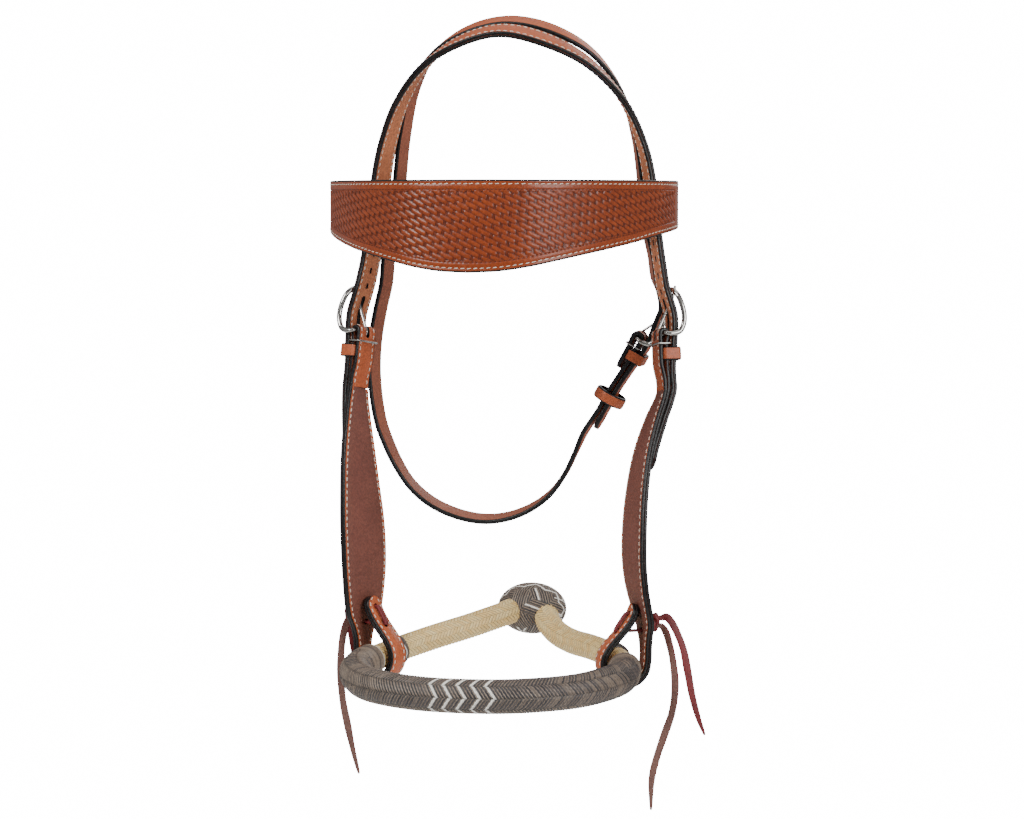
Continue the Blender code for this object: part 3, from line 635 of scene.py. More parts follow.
def section(
    thick, face_round, back_round, face_seam=None, back_seam=None, crown=0.25, dent=0.28, rim=None
):
    """Points round a strap as (share of half width, more across, out, finish after it).

    Finish is 0 for the face, 1 for the edge, 2 for the back, and rim, if given, outside a back seam.
    """
    def run(level, round_off, seam, sign, finish):
        inner = [0.5, 0.0, -0.5]
        outside = rim if rim and finish == 2 else finish
        points = [(1, -round_off, level, outside)]
        if seam:
            points += [(1, -seam + 0.8, level, outside), (1, -seam, level - sign * dent, finish)]
            points += [(1, -seam - 0.8, level, finish)]
        points += [(s, 0, level + sign * crown, finish) for s in inner]
        if seam:
            points += [(-1, seam + 0.8, level, finish), (-1, seam, level - sign * dent, outside)]
            points += [(-1, seam - 0.8, level, outside)]
        points += [(-1, round_off, level, 1)]
        return points

    def corner(sign, radius, start, high):
        centre = thick / 2 - radius
        turns = np.radians(np.linspace(start, start - 90, 5))[1:-1]
        return [
            (sign, radius * (math.cos(t) - sign), high * centre + radius * math.sin(t), 1)
            for t in turns
        ]

    face = [(-s, -o, n, f) for s, o, n, f in run(thick / 2, face_round, face_seam, 1, 0)]
    back = run(-thick / 2, back_round, back_seam, -1, 2)
    right = corner(1, face_round, 90, 1)
    right += [(1, 0, thick / 2 - face_round, 1), (1, 0, -thick / 2 + back_round, 1)]
    right += corner(1, back_round, 0, -1)
    left = corner(-1, back_round, 270, -1)
    left += [(-1, 0, -thick / 2 + back_round, 1), (-1, 0, thick / 2 - face_round, 1)]
    left += corner(-1, face_round, 180, 1)
    return np.array([*face, *right, *back, *left])


def swept(name, path, outline, finishes, side=NEAR, offset=0.0, ring=False):
    """A strap of the outline along the path."""
    across, normal = sides_of(path, ring)
    half = path[:, 6:7]
    a = outline[:, 0] * half + outline[:, 1] * np.minimum(half / 6.0, 1)
    n = outline[:, 2] + offset
    points = path[:, None, :3] + across[:, None] * a[..., None] + normal[:, None] * n[:, None]
    if ring:
        points = points[:-1]
    lines, columns = points.shape[:2]
    faces = lattice(lines, columns, wrap_lines=ring)
    which = np.tile(outline[:, 3].astype(int), len(faces) // columns)
    points = flipped(points.reshape(-1, 3), side)
    if side == OFF:
        faces = faces[:, ::-1]
    unique = list(dict.fromkeys(finishes))
    which = np.array([unique.index(finish) for finish in finishes])[which]
    faces = faces.tolist()
    which = which.tolist()
    if not ring:
        faces += [cap[::side] for cap in end_caps(lines, columns)]
        which += [unique.index(finishes[1])] * 2
    return made_piece(name, points, faces, unique, which)


def bead(length, radius, sides=8):
    """Points and faces of a stitch: a short thread that rises in the middle, along +X, up +Z."""
    t = np.linspace(-1, 1, 7)
    turn = 2 * np.pi * np.arange(sides) / sides
    swell = np.sqrt(np.clip(1 - t**6, 0.02, 1))
    x = np.broadcast_to((t * length / 2)[:, None], (7, sides))
    y = radius * swell[:, None] * np.cos(turn)
    rise = radius * (0.7 * (1 - t**2) - 0.35)
    z = radius * swell[:, None] * np.sin(turn) + rise[:, None]
    points = np.stack([x, y, z], axis=-1).reshape(-1, 3)
    faces = lattice(7, sides)[:, ::-1].tolist()
    return points, faces + end_caps(7, sides)


def repeated(name, template, spots, finish, side=NEAR):
    """One mesh with the template at each spot, which is (centre, X, Y, Z axes)."""
    points, faces = template
    every = []
    for centre, x, y, z in spots:
        every.append(centre + points[:, :1] * x + points[:, 1:2] * y + points[:, 2:3] * z)
    count = len(points)
    wound = [f[::side] for f in faces]
    all_faces = [[i + k * count for i in f] for k in range(len(every)) for f in wound]
    return made_piece(name, flipped(np.concatenate(every), side), all_faces, [finish])


def seam_spots(path, inset, out, pitch=STITCH_PITCH, back=False, start=0.0, end=0.0, slant=0.0):
    """Where stitches lie along a strap's edges, inset from them, at out along the normal."""
    across, normal = sides_of(path)
    spots = []
    for sign in (1, -1):
        room = path[:, 6] > inset + 1.2
        line = path[:, :3] + across * (sign * (path[:, 6] - inset))[:, None] + normal * out
        far = along(line)
        for s in np.arange(start + pitch / 2, far[-1] - end, pitch):
            i = int(np.searchsorted(far, s))
            if i < 1 or i >= len(far) or not room[i]:
                continue
            t = (s - far[i - 1]) / max(far[i] - far[i - 1], 1e-6)
            centre = line[i - 1] * (1 - t) + line[i] * t
            x = unit(line[i] - line[i - 1])
            z = unit(normal[i]) * (-1 if back else 1)
            y = np.cross(z, x)
            x = unit(x + slant * y)
            spots.append((centre, x, np.cross(z, x), z))
    return spots


def stitched(name, spots, body, side=NEAR, length=3.3, radius=0.42):
    made = repeated(name, bead(length, radius), spots, M["thread"], side)
    return joined_to(made, body, "tan_leather")


def cutter_slot(centre, up, through, width, length, depth):
    """A slot with round ends, as a closed mesh to cut with."""
    z = unit(through)
    x = square_to(up, z)
    y = np.cross(z, x)
    r = width / 2
    outline = []
    for turn in np.radians(np.linspace(-90, 90, 7)):
        outline.append((length / 2 - r + r * math.cos(turn), r * math.sin(turn)))
    for turn in np.radians(np.linspace(90, 270, 7)):
        outline.append((-length / 2 + r + r * math.cos(turn), r * math.sin(turn)))
    count = len(outline)
    low = [centre + x * a + y * b - z * depth / 2 for a, b in outline]
    high = [centre + x * a + y * b + z * depth / 2 for a, b in outline]
    faces = [[i, (i + 1) % count, count + (i + 1) % count, count + i] for i in range(count)]
    faces += [list(range(count))[::-1], list(range(count, 2 * count))]
    made = made_piece("cutter", np.array(low + high), faces, [M["edge"]])
    return turned_out(made)


def cut_out(target, tools):
    """The target with the tools cut from it."""
    for tool in tools:
        step = target.modifiers.new("cut", "BOOLEAN")
        step.operation = "DIFFERENCE"
        step.solver = "EXACT"
        step.material_mode = "TRANSFER"
        step.object = tool
    seen = target.evaluated_get(bpy.context.evaluated_depsgraph_get())
    mesh = bpy.data.meshes.new_from_object(seen)
    target.modifiers.clear()
    old = target.data
    target.data = mesh
    bpy.data.meshes.remove(old)
    mesh.name = target.name
    for tool in tools:
        bpy.data.objects.remove(tool, do_unlink=True)
    return target


def rings(line, radius, sides, up=(0, 0, 1), closed=False, about=None):
    """Points round a line as an array (rings, sides, 3), with the ring's own axes carried along."""
    line = np.asarray(line, float)
    ahead = np.gradient(line, axis=0)
    if closed:
        ahead = np.roll(line, -1, axis=0) - np.roll(line, 1, axis=0)
    ahead = unit(ahead)
    if about is None:
        one = [square_to(up, ahead[0])]
        for t in ahead[1:]:
            one.append(square_to(one[-1], t))
        one = np.array(one)
        if closed:
            back = square_to(one[-1], ahead[0])
            twist = math.atan2(np.cross(back, one[0]) @ ahead[0], back @ one[0])
            share = np.linspace(0, 1, len(line)) * twist
            two = np.cross(ahead, one)
            one = one * np.cos(share)[:, None] + two * np.sin(share)[:, None]
    else:
        one = square_to(about, ahead)
    two = np.cross(ahead, one)
    turn = 2 * np.pi * np.arange(sides) / sides
    if np.ndim(radius) == 1:
        radius = np.asarray(radius, float)[:, None]
    radius = np.broadcast_to(radius, (len(line), sides))
    cosine, sine = np.cos(turn)[:, None], np.sin(turn)[:, None]
    spread = one[:, None] * cosine + two[:, None] * sine
    return line[:, None] + spread * radius[..., None]


def tube_piece(name, line, radius, finish, side=NEAR, closed=False, sides=16):
    line = np.asarray(line, float)
    points = rings(line, radius, sides, closed=closed)
    faces = lattice(len(line), sides, wrap_lines=closed)[:, ::-side].tolist()
    if not closed:
        faces += [cap[::-side] for cap in end_caps(len(line), sides)]
    made = made_piece(name, flipped(points.reshape(-1, 3), side), faces, [finish])
    return turned_out(made)


def rounded_loop(half, low, high, corner):
    """A closed loop of (across, out) of that half width, from low to high, with round corners."""
    centre, reach = (low + high) / 2, (high - low) / 2
    loop = []
    for k, (sa, sn) in enumerate(((1, 1), (-1, 1), (-1, -1), (1, -1))):
        for j in range(7):
            turn = math.radians(90 * (k + j / 6))
            a = sa * (half - corner) + corner * math.cos(turn)
            loop.append((a, centre + sn * (reach - corner) + corner * math.sin(turn)))
    return loop


# ---------------------------------------------------------------- strap routes

BAR_FRAME = leaning(BAR, CHEEK_TOE_IN, BAR_LEAN)
HANGER_FRAME = leaning(HANGER, HANGER_TOE_IN, 0)


def throat_frame():
    up = unit(THROAT_UP)
    across = square_to((0.04, 1, 0), up)
    return np.array(THROAT_BAR, float), across, unit(np.cross(across, up)), up


THROAT_FRAME = throat_frame()


def cheek_path(side):
    inner = [(-1.4, FLAP_END), (-1.4, -34), (-3.3, -23), (-3.3, -8)]
    outer = [(1.6, -7), (1.3, -13), (1.3, -24), (1.3, FLAP_END)]
    turns = np.radians(range(180, -1, -30))
    over = [(FOLD_RADIUS * math.cos(t), FOLD_RADIUS * math.sin(t)) for t in turns]
    top = [place(BAR_FRAME, 0, n, u) for n, u in [*inner, *over, *outer]]
    top = rows(top, BAR_FRAME[1], STRAP_HALF)
    across, _ = toed_in(CHEEK_TOE_IN)
    blade = [
        ((115.7, 15.0, -283), 12.4), ((113.4, 8.4, -306), 16.2), ((110.6, 2.4, -332), 19.4),
        ((108.0, -0.8, -360), 22.2), ((106.6, -2.2, -385), 22.6), ((106.4, -2.2, -405), 21.2),
    ]
    middle = np.concatenate([
        rows([(x + lean, y, z)], across, half)
        for ((x, y, z), half), lean in zip(blade, BLADE_LEAN[side])
    ])
    loop = [
        (17.85, 30, 17.0), (18.6, 21, 12.0), (18.9, 12, 8.8), (18.8, 2, TAB_HALF), (16.8, -7, TAB_HALF),
        (10.8, -13.8, TAB_HALF), (2, -16.6, TAB_HALF), (-7, -15.6, TAB_HALF), (-14, -10.2, TAB_HALF),
        (-17.6, -2, TAB_HALF), (-17, 5.5, TAB_HALF), (-13.5, 12, TAB_HALF), (-7.8, 18.6, TAB_HALF),
        (-1.8, 25, TAB_HALF), (3.2, 31.5, TAB_HALF), (6.4, 38, TAB_HALF), (7.6, 44, TAB_HALF),
    ]
    bottom = [rows([place(HANGER_FRAME, 0, n, u)], HANGER_FRAME[1], half) for n, u, half in loop]
    return smooth(np.concatenate([top, middle, *bottom]))


def crown_half(side):
    tilt = math.radians(CROWN_TILT)
    over = (0, math.cos(tilt), math.sin(tilt))
    across, out = toed_in(CHEEK_TOE_IN)
    top = [
        ((0, 0, 2.5), over), ((30, 3, -4), over), ((60, 15, -20), (-0.16, 0.95, 0.3)),
        ((84, 30, -48), (-0.32, 0.93, 0.2)), ((97, 38, -80), (-0.42, 0.9, 0.1)),
        ((103, 40, -110), across), ((107, 39, -145), across), ((111.2, 36.8, -172), across),
    ]
    top = np.concatenate([rows([p], a, STRAP_HALF) for p, a in top])
    local = [
        (3.9, 34), (6.2, 25), (8.8, 14), (8.8, 4), (7.7, -5), (7.3, -10), (6.5, -16), (5.7, -23),
        (5.4, -32), (5.4, FLAP_END),
    ]
    middle = rows([place(BAR_FRAME, 0, n, u) for n, u in local], BAR_FRAME[1], STRAP_HALF)
    first, second, third = BLADE_LEAN[side][:3]
    blade = [
        (115.7 + first, 15.0, -283), (113.4 + second, 8.4, -306),
        (112.1 + (second + third) / 2, 5.6, -318),
    ]
    # the near billet bends with its cheek, so it needs a little more room
    away = CHEEK_LAYER / 2 + GAP + GAP / 2 + STRAP_LAYER + 0.1 - 0.09 * second
    bottom = rows(np.array(blade) + out * away, across, STRAP_HALF)
    return np.concatenate([top, middle, bottom])


def crown_path():
    tilt = math.radians(CROWN_TILT)
    whole = smooth(joined(crown_half(OFF), crown_half(NEAR)[1:]))
    whole = thinned(whole, 2.2, 0.02, tips=(9, 9))
    middle_row = int(np.abs(whole[:, 0]).argmin())
    sag = np.array([0, -math.sin(tilt), math.cos(tilt)]) * (STRAP_LAYER + GAP / 2)
    near_apex = np.exp(-(whole[:, 0:1] / 60.0) ** 2) * (whole[:, 2:3] > -40)
    whole[:, :3] += (sag - whole[middle_row, :3]) * near_apex
    return whole


def throat_path():
    """The whole strap: from the flap at the buckle round the throat, over the poll, to the billet."""
    tilt = math.radians(CROWN_TILT)
    over = (0, math.cos(tilt), math.sin(tilt))
    across, _ = toed_in(THROAT_TOE_IN)
    y, z = PIVOT
    top = [
        ((0, 19, 10.6), over), ((30, 22, 4.9), over), ((59, 33, -11.5), (-0.14, 0.95, 0.3)),
        ((78.5, 47.5, -39), (-0.25, 0.95, 0.2)), ((88.5, 56, -75), (-0.3, 0.95, 0.05)),
        ((93, 58.5, -110), across), ((97, 58, -145), across),
    ]
    top = np.concatenate([rows([p], a, THROAT_HALF) for p, a in top])
    frame = THROAT_FRAME
    off_across = across * (-1, 1, 1)
    low = (0, math.cos(math.radians(15)), math.sin(math.radians(15)))
    hang = [
        ((-101, y, z - 0.3 + THROAT_HALF), off_across), ((-103, y - 0.3, z - 14), off_across),
        ((-107.5, y - 1.5, z - 35), off_across), ((-111, 54, -228), off_across),
        ((-111.5, 53, -255), (0.3, 0.95, 0)), ((-107, 53, -288), (0.25, 0.96, 0.05)),
        ((-101, 54.5, -306), (0.2, 0.97, 0.1)), ((-94, 57, -322), (0.12, 0.97, 0.15)),
        ((-84, 60, -338), low), ((-69, 62, -351), low), ((-49, 63.5, -360), low),
        ((-28, 64.5, -363.5), low), ((-9, 64.5, -361), low), ((9, 64, -353.5), low),
        ((24, 63.5, -342), (-0.05, 0.97, 0.2)), ((35, 63, -327), (-0.05, 0.98, 0.12)),
        ((43, 62, -311), (-0.04, 0.99, 0.08)), ((50, 61.3, -296), frame[1]),
        (place(frame, 0, 0, -62), frame[1]), (place(frame, 0, 0, -48), frame[1]),
    ]
    hang = np.concatenate([rows([p], a, THROAT_HALF) for p, a in hang])
    outer = [(1.6, -27), (2.75, -18), (2.9, -8)]
    turns = np.radians(range(0, 181, 30))
    radius = THROAT_FOLD_RADIUS
    over_bar = [(radius * math.cos(t), radius * math.sin(t)) for t in turns]
    inner = [(-2.95, -8), (-2.95, -18), (-2.7, -27)]
    fold = [place(frame, 0, n, u) for n, u in [*outer, *over_bar, *inner]]
    fold = rows(fold, frame[1], THROAT_HALF)
    local = [
        (4.6, 28), (6.0, 19), (7.4, 9), (8.5, 0), (8.6, -7), (7.3, -15), (5.9, -27), (4.6, -42),
        (4.3, -60), (4.3, -76),
    ]
    points = [(101, y, z - 0.3 + THROAT_HALF), (103.5, y, z - 9), (106.6, 57.2, -189)]
    points += [place(frame, 0, n, u) for n, u in local]
    turn = [across, across, unit(across + frame[1])] + [frame[1]] * len(local)
    billet = rows(points, turn, THROAT_HALF)
    lower = np.concatenate([hang, fold])[::-1]
    whole = np.concatenate([lower, joined(top, top[1:]), billet])
    return thinned(smooth(whole), 2.2, 0.02, tips=(6, 8))


def browband_path(wider):
    top = -107.0
    plan = [
        (0, -118, 65), (20, -116.5, 64), (40, -112, 61), (58, -103, 57), (75, -90, 53), (91, -73, 49),
        (105, -52, 45), (116, -31, 41), (123.5, -9, 38), (126.5, 14, 36), (124, 38, 35), (117, 56, 35),
        (107, 68, 35), (96, 74.5, 35), (86, 73, 35), (80, 64, 35), (79, 48, 35), (82, 30, 35),
        (89, 12, 35), (98, -4, 35), (103.5, -18, 35), (102.5, -34, 35),
    ]
    wider = (*wider, *[0.0] * (len(plan) - len(wider)))
    points = [(x + more, y, top - width / 2) for (x, y, width), more in zip(plan, wider)]
    return smooth(rows(points, (0, 0, -1), [width / 2 for _, _, width in plan]))


# ---------------------------------------------------------------- leather

def cheeks():
    face = section(CHEEK_LAYER, 1.1, 0.35, face_seam=CHEEK_SEAM)
    back = section(CHEEK_LAYER, 0.35, 1.1, back_seam=CHEEK_SEAM, rim=3)
    lining_offset = -(CHEEK_LAYER + GAP)
    ring_room = BAR_WIRE + 2 * TONGUE_WIRE + GAP + SLOT_ROOM
    for prefix, side in SIDES:
        path = cheek_path(side)
        outer_path = thinned(path, 2.0, 0.02, tips=(0, 7))
        start = nearest(path, place(BAR_FRAME, 0, 1.3, FLAP_END - 0.9))
        inner_path = thinned(path[start:], 2.0, 0.02, tips=(0, 7))
        outer = swept(f"{prefix}_cheek_grain", outer_path, face, materials("tan edge flesh"), side)
        finishes = materials("brown edge brown tan")
        lining = swept(f"{prefix}_cheek_backing", inner_path, back, finishes, side, lining_offset)
        _, _, out, up = [flipped(v, side) for v in BAR_FRAME]
        low, high = -ring_room, 8
        centre = flipped(place(BAR_FRAME, 0, 0, (low + high) / 2), side)
        tools = [cutter_slot(centre, up, out, SLOT_WIDTH, high - low, 12)]
        lining_tools = []
        for height in LACE_HOLES:
            spot = flipped(place(HANGER_FRAME, 0, 6, height), side)
            through = flipped(HANGER_FRAME[2], side)
            for group in (tools, lining_tools):
                width = 2 * LACE_HOLE_RADIUS
                group.append(cutter_slot(spot, (0, 0, 1), through, width, width + 0.01, 40))
        cut_out(outer, tools)
        joined_to(outer, "headstall", "tan_leather", f"{prefix}_cheek_outer")
        cut_out(lining, lining_tools)
        joined_to(lining, "headstall", "brown_leather", f"{prefix}_cheek_lining")
        level = CHEEK_LAYER / 2 - 0.05
        inside = lining_offset - level
        spots = seam_spots(outer_path, CHEEK_SEAM, level, start=2, end=3)
        spots += seam_spots(inner_path, CHEEK_SEAM, inside, back=True, start=2, end=3)
        stitched(f"{prefix}_cheek_stitches", spots, "headstall", side)


def crown():
    path = crown_path()
    middle = (STRAP_LAYER + GAP) / 2
    face = section(STRAP_LAYER, 1.05, 0.3, face_seam=CROWN_SEAM)
    back = section(STRAP_LAYER, 0.3, 1.05, back_seam=CROWN_SEAM)
    outer = swept("crown_grain", path, face, materials("tan edge flesh"), offset=middle)
    lining = swept("crown_backing", path, back, materials("tan edge backing"), offset=-middle)
    across, normal = sides_of(path)
    far = along(path)
    ahead = np.cross(across, normal)
    groups = ([], [])
    for side in (NEAR, OFF):
        here = flipped(place(BAR_FRAME, 0, 6, sum(BILLET_SLOT) / 2), side)
        at = nearest(path, here)
        for k in (-3, -2, -1, 0, 1, 2, 3, 4):
            # holes lie further up the strap as k grows
            s = far[at] - side * (BILLET_HOLE_PITCH * k + 6.0 * np.sign(k))
            i = int(np.clip(np.searchsorted(far, s), 1, len(far) - 1))
            length = BILLET_SLOT[1] - BILLET_SLOT[0] if k == 0 else 4.6
            width = SLOT_WIDTH if k == 0 else 2.1
            for group in groups:
                group.append(cutter_slot(path[i, :3], ahead[i], normal[i], width, length, 9))
    joined_to(cut_out(outer, groups[0]), "headstall", "tan_leather", "crown_outer")
    joined_to(cut_out(lining, groups[1]), "headstall", "brown_leather", "crown_lining")
    level = middle + STRAP_LAYER / 2 - 0.05
    spots = seam_spots(path, CROWN_SEAM, level, start=4, end=4)
    spots += seam_spots(path, CROWN_SEAM, -level, back=True, start=4, end=4)
    stitched("crown_stitches", spots, "headstall")


def throatlatch():
    path = throat_path()
    outline = section(THROAT_LEATHER, 1.3, 1.3, crown=0.2)
    strap = swept("throatlatch_strap", path, outline, materials("tan edge flesh"))
    _, out, up = THROAT_FRAME[1:]
    ring_room = THROAT_BAR_WIRE + 2 * THROAT_TONGUE_WIRE + GAP + SLOT_ROOM
    wide = THROAT_SLOT_WIDTH
    low, high = THROAT_SLOT
    slots = [(0, (7.5 - ring_room) / 2, wide, 7.5 + ring_room, 13)]
    slots += [(7, (low + high) / 2, wide, high - low, 14)]
    slots += [(4.4, height, 1.9, 4.2, 6) for height in (-66, -54, -42)]
    cut_out(strap, [
        cutter_slot(place(THROAT_FRAME, 0, n, u), up, out, *size) for n, u, *size in slots
    ])
    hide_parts("throatlatch_upper", "throatlatch_drop", "throatlatch_billet")
    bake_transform(strap)


def part(x):
    """Place within the whole number's span, from -0.5 to 0.5."""
    return x - np.floor(x) - 0.5


def dome(x):
    return np.sqrt(np.clip(1 - x**2, 0, 1))


def turned(count):
    return 2 * np.pi * (np.arange(count) + 0.5)[None, :] / count


def basket_weave(u, v, length=11.6, width=3.3):
    """Height from 0 to 1 of stamped basket weave at u along the strands and v across them."""
    row = np.floor(v / width)
    x = part(u / length + 0.5 * np.mod(row, 2))
    y = v / width - row - 0.5
    strand = np.clip(1 - np.abs(2.0 * y) ** 5, 0, 1) * (1 - np.clip(np.abs(x) / 0.43, 0, 1) ** 16)
    strand *= 0.94 + 0.06 * np.cos(2 * np.pi * x) - 0.24 * y
    gap = 0.5 - np.abs(x)
    cross = np.clip(1 - (gap / 0.05) ** 4, 0, 1) * 0.5 * (1 - 0.6 * np.abs(2 * y) ** 4)
    return np.clip(np.maximum(strand, cross), 0, 1)


def tooling(s, inset, depth):
    """Height from -1 to 0 at s along the band, inset from its nearer edge and depth from its top edge."""
    slant = math.radians(26)
    weave = basket_weave(s + 0.16 * depth, depth * math.cos(slant) - s * math.sin(slant))
    field = np.clip((inset - 7.4) / 0.7, 0, 1) * np.clip((TOOLED_END - np.abs(s)) / 1.5, 0, 1)
    border = np.exp(-((inset - BORDER_LINE) / 0.35) ** 2)
    arcs = np.abs(np.mod(s / 3.1, 1) - 0.5)
    scallop = np.exp(-((inset - BORDER_LINE - 1 - 1.1 * np.cos(2 * np.pi * arcs)) / 0.4) ** 2)
    scallop *= (inset > 6.2) & (inset < 9.6)
    relief = field * (weave - 1) - 0.55 * border - 0.6 * scallop * (1 - field * 0.4)
    return np.where(np.abs(s) < TOOLED_END + 1, relief, 0.0)


def browband():
    halves = []
    for wider in (BROW_WIDER, ()):
        half = thinned(browband_path(wider), 0.62, 0.02)
        split = int(np.argmax(along(half) > 215))
        halves.append(np.concatenate([half[:split], thinned(half[split:], 2.2, 0.03)]))
    path = joined(halves[0], halves[1][1:])
    far = along(path)
    s = far - far[len(halves[0]) - 1]
    across, normal = sides_of(path)
    columns = 108
    share = np.linspace(-1, 1, columns)
    edge_in = 1.2
    a = share * (path[:, 6:7] - edge_in)
    inset = path[:, 6:7] - np.abs(a)
    relief = tooling(s[:, None], inset, a + path[:, 6:7])
    seam = np.exp(-((inset - BROW_SEAM) / 0.75) ** 2)
    level = 0.8 * relief - 0.3 * seam
    top = path[:, None, :3] + across[:, None] * a[..., None] - normal[:, None] * level[..., None]
    outline = section(BROW_OUTER, edge_in, 0.35, crown=0.0)
    rest = outline[outline[:, 3] != 0][1:]
    w = path[:, 6:7]
    low_a = rest[:, 0] * w + rest[:, 1]
    low_n = np.broadcast_to(BROW_OUTER / 2 - rest[:, 2], low_a.shape)
    under = path[:, None, :3] + across[:, None] * low_a[..., None]
    under = under + normal[:, None] * low_n[..., None]
    points = np.concatenate([top, under], axis=1)
    lines, count = points.shape[:2]
    faces = lattice(lines, count)[:, ::-1]
    which = np.concatenate([np.zeros(columns - 1), [1], rest[:, 3]])[:count]
    which = np.tile(which.astype(int), len(faces) // count)
    faces = faces.tolist() + end_caps(lines, count)
    which = which.tolist() + [1, 1]
    finishes = materials("tooled edge flesh")
    band = made_piece("browband_tooled", points.reshape(-1, 3), faces, finishes, which, crease=80)
    turned_out(band)
    # the relief marked here gives painted shade in the tooling's hollows and a painted highlight on its
    # raised tops
    values = np.ones((lines, count))
    values[:, :columns] = np.clip(1 + relief, 0, 1)
    marked(band, None, values.ravel())
    joined_to(band, "browband", "tan_leather", "browband_outer")

    coarse = thinned(path, 2.2, 0.03)
    # turned half round, so that its back looks away from the outer layer
    back = section(BROW_LINING, 0.35, 0.95, crown=0.0) * (-1, -1, -1, 1)
    lining = swept(
        "browband_backing", coarse, back[::-1], materials("brown edge brown"),
        offset=BROW_OUTER + GAP + BROW_LINING / 2,
    )
    turned_out(lining)
    joined_to(lining, "browband", "brown_leather", "browband_lining")

    ends = dict(pitch=BROW_STITCH_PITCH, start=170, end=170)
    inside = BROW_OUTER + GAP + BROW_LINING - 0.1
    spots = seam_spots(coarse, BROW_SEAM, 0.05, back=True, slant=0.12, **ends)
    spots += seam_spots(coarse, BROW_SEAM, inside, **ends)
    stitched("browband_stitches", spots, "browband", length=3.1, radius=0.36)


def keeper_ring(name, half, out_low, out_high, low, high, frame, side, body, node):
    loop = rounded_loop(half, out_low, out_high, 1.2)
    # backwards, so that the normal, and the grain side with it, points out of the ring
    points = [place(frame, a, n, (low + high) / 2) for a, n in [*loop, loop[0]][::-1]]
    ring = rows(points, frame[3], (high - low) / 2)
    outline = section(KEEPER_LEATHER, 1.2, 0.25, crown=0.15)
    made = swept(name, ring, outline, materials("tan edge flesh"), side, ring=True)
    return joined_to(made, body, "tan_leather", node)


def keepers():
    half = STRAP_HALF + GAP + KEEPER_LEATHER / 2
    for prefix, side in SIDES:
        node_name = f"{prefix}_cheek_keeper"
        keeper_ring(
            f"{node_name}_band", half, -0.95, 11.0, -20, -10, BAR_FRAME, side, "headstall", node_name
        )
    half = THROAT_HALF + GAP + KEEPER_LEATHER / 2
    keeper_ring(
        "throat_keeper_band", half, -0.1, 11.6, -18, -9, THROAT_FRAME, NEAR, "throatlatch",
        "throat_keeper",
    )
    ring = []
    for turn in np.linspace(0, -2 * math.pi, 49):
        across, out = SLIDING_KEEPER_RADIUS * math.cos(turn), SLIDING_KEEPER_RADIUS * math.sin(turn)
        ring.append(place(THROAT_FRAME, across, SLIDING_KEEPER_OUT + out, SLIDING_KEEPER_AT))
    made = swept(
        "throat_sliding_keeper_band", rows(ring, THROAT_FRAME[3], 4.5),
        section(SLIDING_KEEPER_LEATHER, 1.6, 0.35, crown=0.2), materials("tan edge edge"), ring=True,
    )
    joined_to(made, "sliding_keeper", "tan_leather", "throat_sliding_keeper")


# ---------------------------------------------------------------- steel

def frame_outline(side_at, top_out, top, bar_wire):
    low = 0.35 * bar_wire
    half = [
        (side_at - 3.5, 0, 0), (side_at - 1.4, 0.5, 0), (side_at - 0.2, 2.4, -low), (side_at, 6, -low),
        (side_at, 0.74 * top_out + 4, 0.03 * top), (side_at, top_out + 4.3, 0.15 * top),
        (side_at, top_out + 5.5, 0.3 * top), (side_at - 0.2, top_out + 5.3, 0.48 * top),
        (side_at - 0.9, top_out + 4.1, 0.66 * top), (side_at - 2.4, top_out + 2.6, 0.82 * top),
        (side_at - 5, top_out + 1.1, 0.925 * top), (side_at - 8.6, top_out + 0.3, 0.985 * top),
    ]
    other = [(-a, n, u) for a, n, u in reversed(half)]
    return [(0, 0, 0), *half, (0, top_out, top), *other, (0, 0, 0)]


def buckle(names, nodes, bodies, frame, side, sizes):
    side_at, top_out, top, bar_wire, tongue_wire, loop_wire, loop = sizes
    outline = [place(frame, *p) for p in frame_outline(side_at, top_out, top, bar_wire)]
    outline = smooth(np.array(outline), 0.7)
    up_share = np.clip(((outline - frame[0]) @ frame[3]) / (0.35 * top), 0, 1)
    out_share = np.clip(((outline - frame[0]) @ frame[2]) / 6.0, 0, 1)
    weight = bar_wire * (1 + 0.26 * np.maximum(up_share, out_share))
    made = tube_piece(names[0], outline[:-1], weight[:-1], M["steel"], side, closed=True, sides=18)
    joined_to(made, bodies[0], "stainless_steel", nodes[0])
    rest = bar_wire + tongue_wire + GAP
    t = math.radians(TONGUE_ANGLE)
    last = math.atan2(math.sin(t), -math.cos(t))
    eye = [
        (rest * math.cos(last + math.radians(turn)), rest * math.sin(last + math.radians(turn)))
        for turn in range(270, -1, -15)
    ]
    lean = np.array([math.sin(t), math.cos(t)])
    root = np.array(eye[-1])
    shank = [root + lean * 0.28 * top, root + lean * 0.58 * top]
    shank += [(top_out + 0.55 * rest, 0.83 * top), (top_out + 1.06 * rest, 0.98 * top)]
    shank += [(top_out + 1.06 * rest + 0.9, top + 3.2)]
    line = np.array([place(frame, 0, n, u) for n, u in [*eye, *shank]])
    tail = smooth(line[len(eye) - 1:], 0.7)
    line = np.concatenate([line[:len(eye) - 1], tail])
    radius = np.full(len(line), tongue_wire)
    radius[:2] *= (0.55, 0.9)
    radius[-3:] *= (0.97, 0.85, 0.5)
    made = tube_piece(names[1], line, radius, M["steel"], side, sides=14)
    joined_to(made, bodies[1], "stainless_steel", nodes[1])
    half, low, high, at = loop
    points = [place(frame, a, n, at) for a, n in rounded_loop(half, low, high, 1.0)]
    made = tube_piece(names[2], points, loop_wire, M["steel"], side, closed=True, sides=12)
    joined_to(made, bodies[2], "stainless_steel", nodes[2])


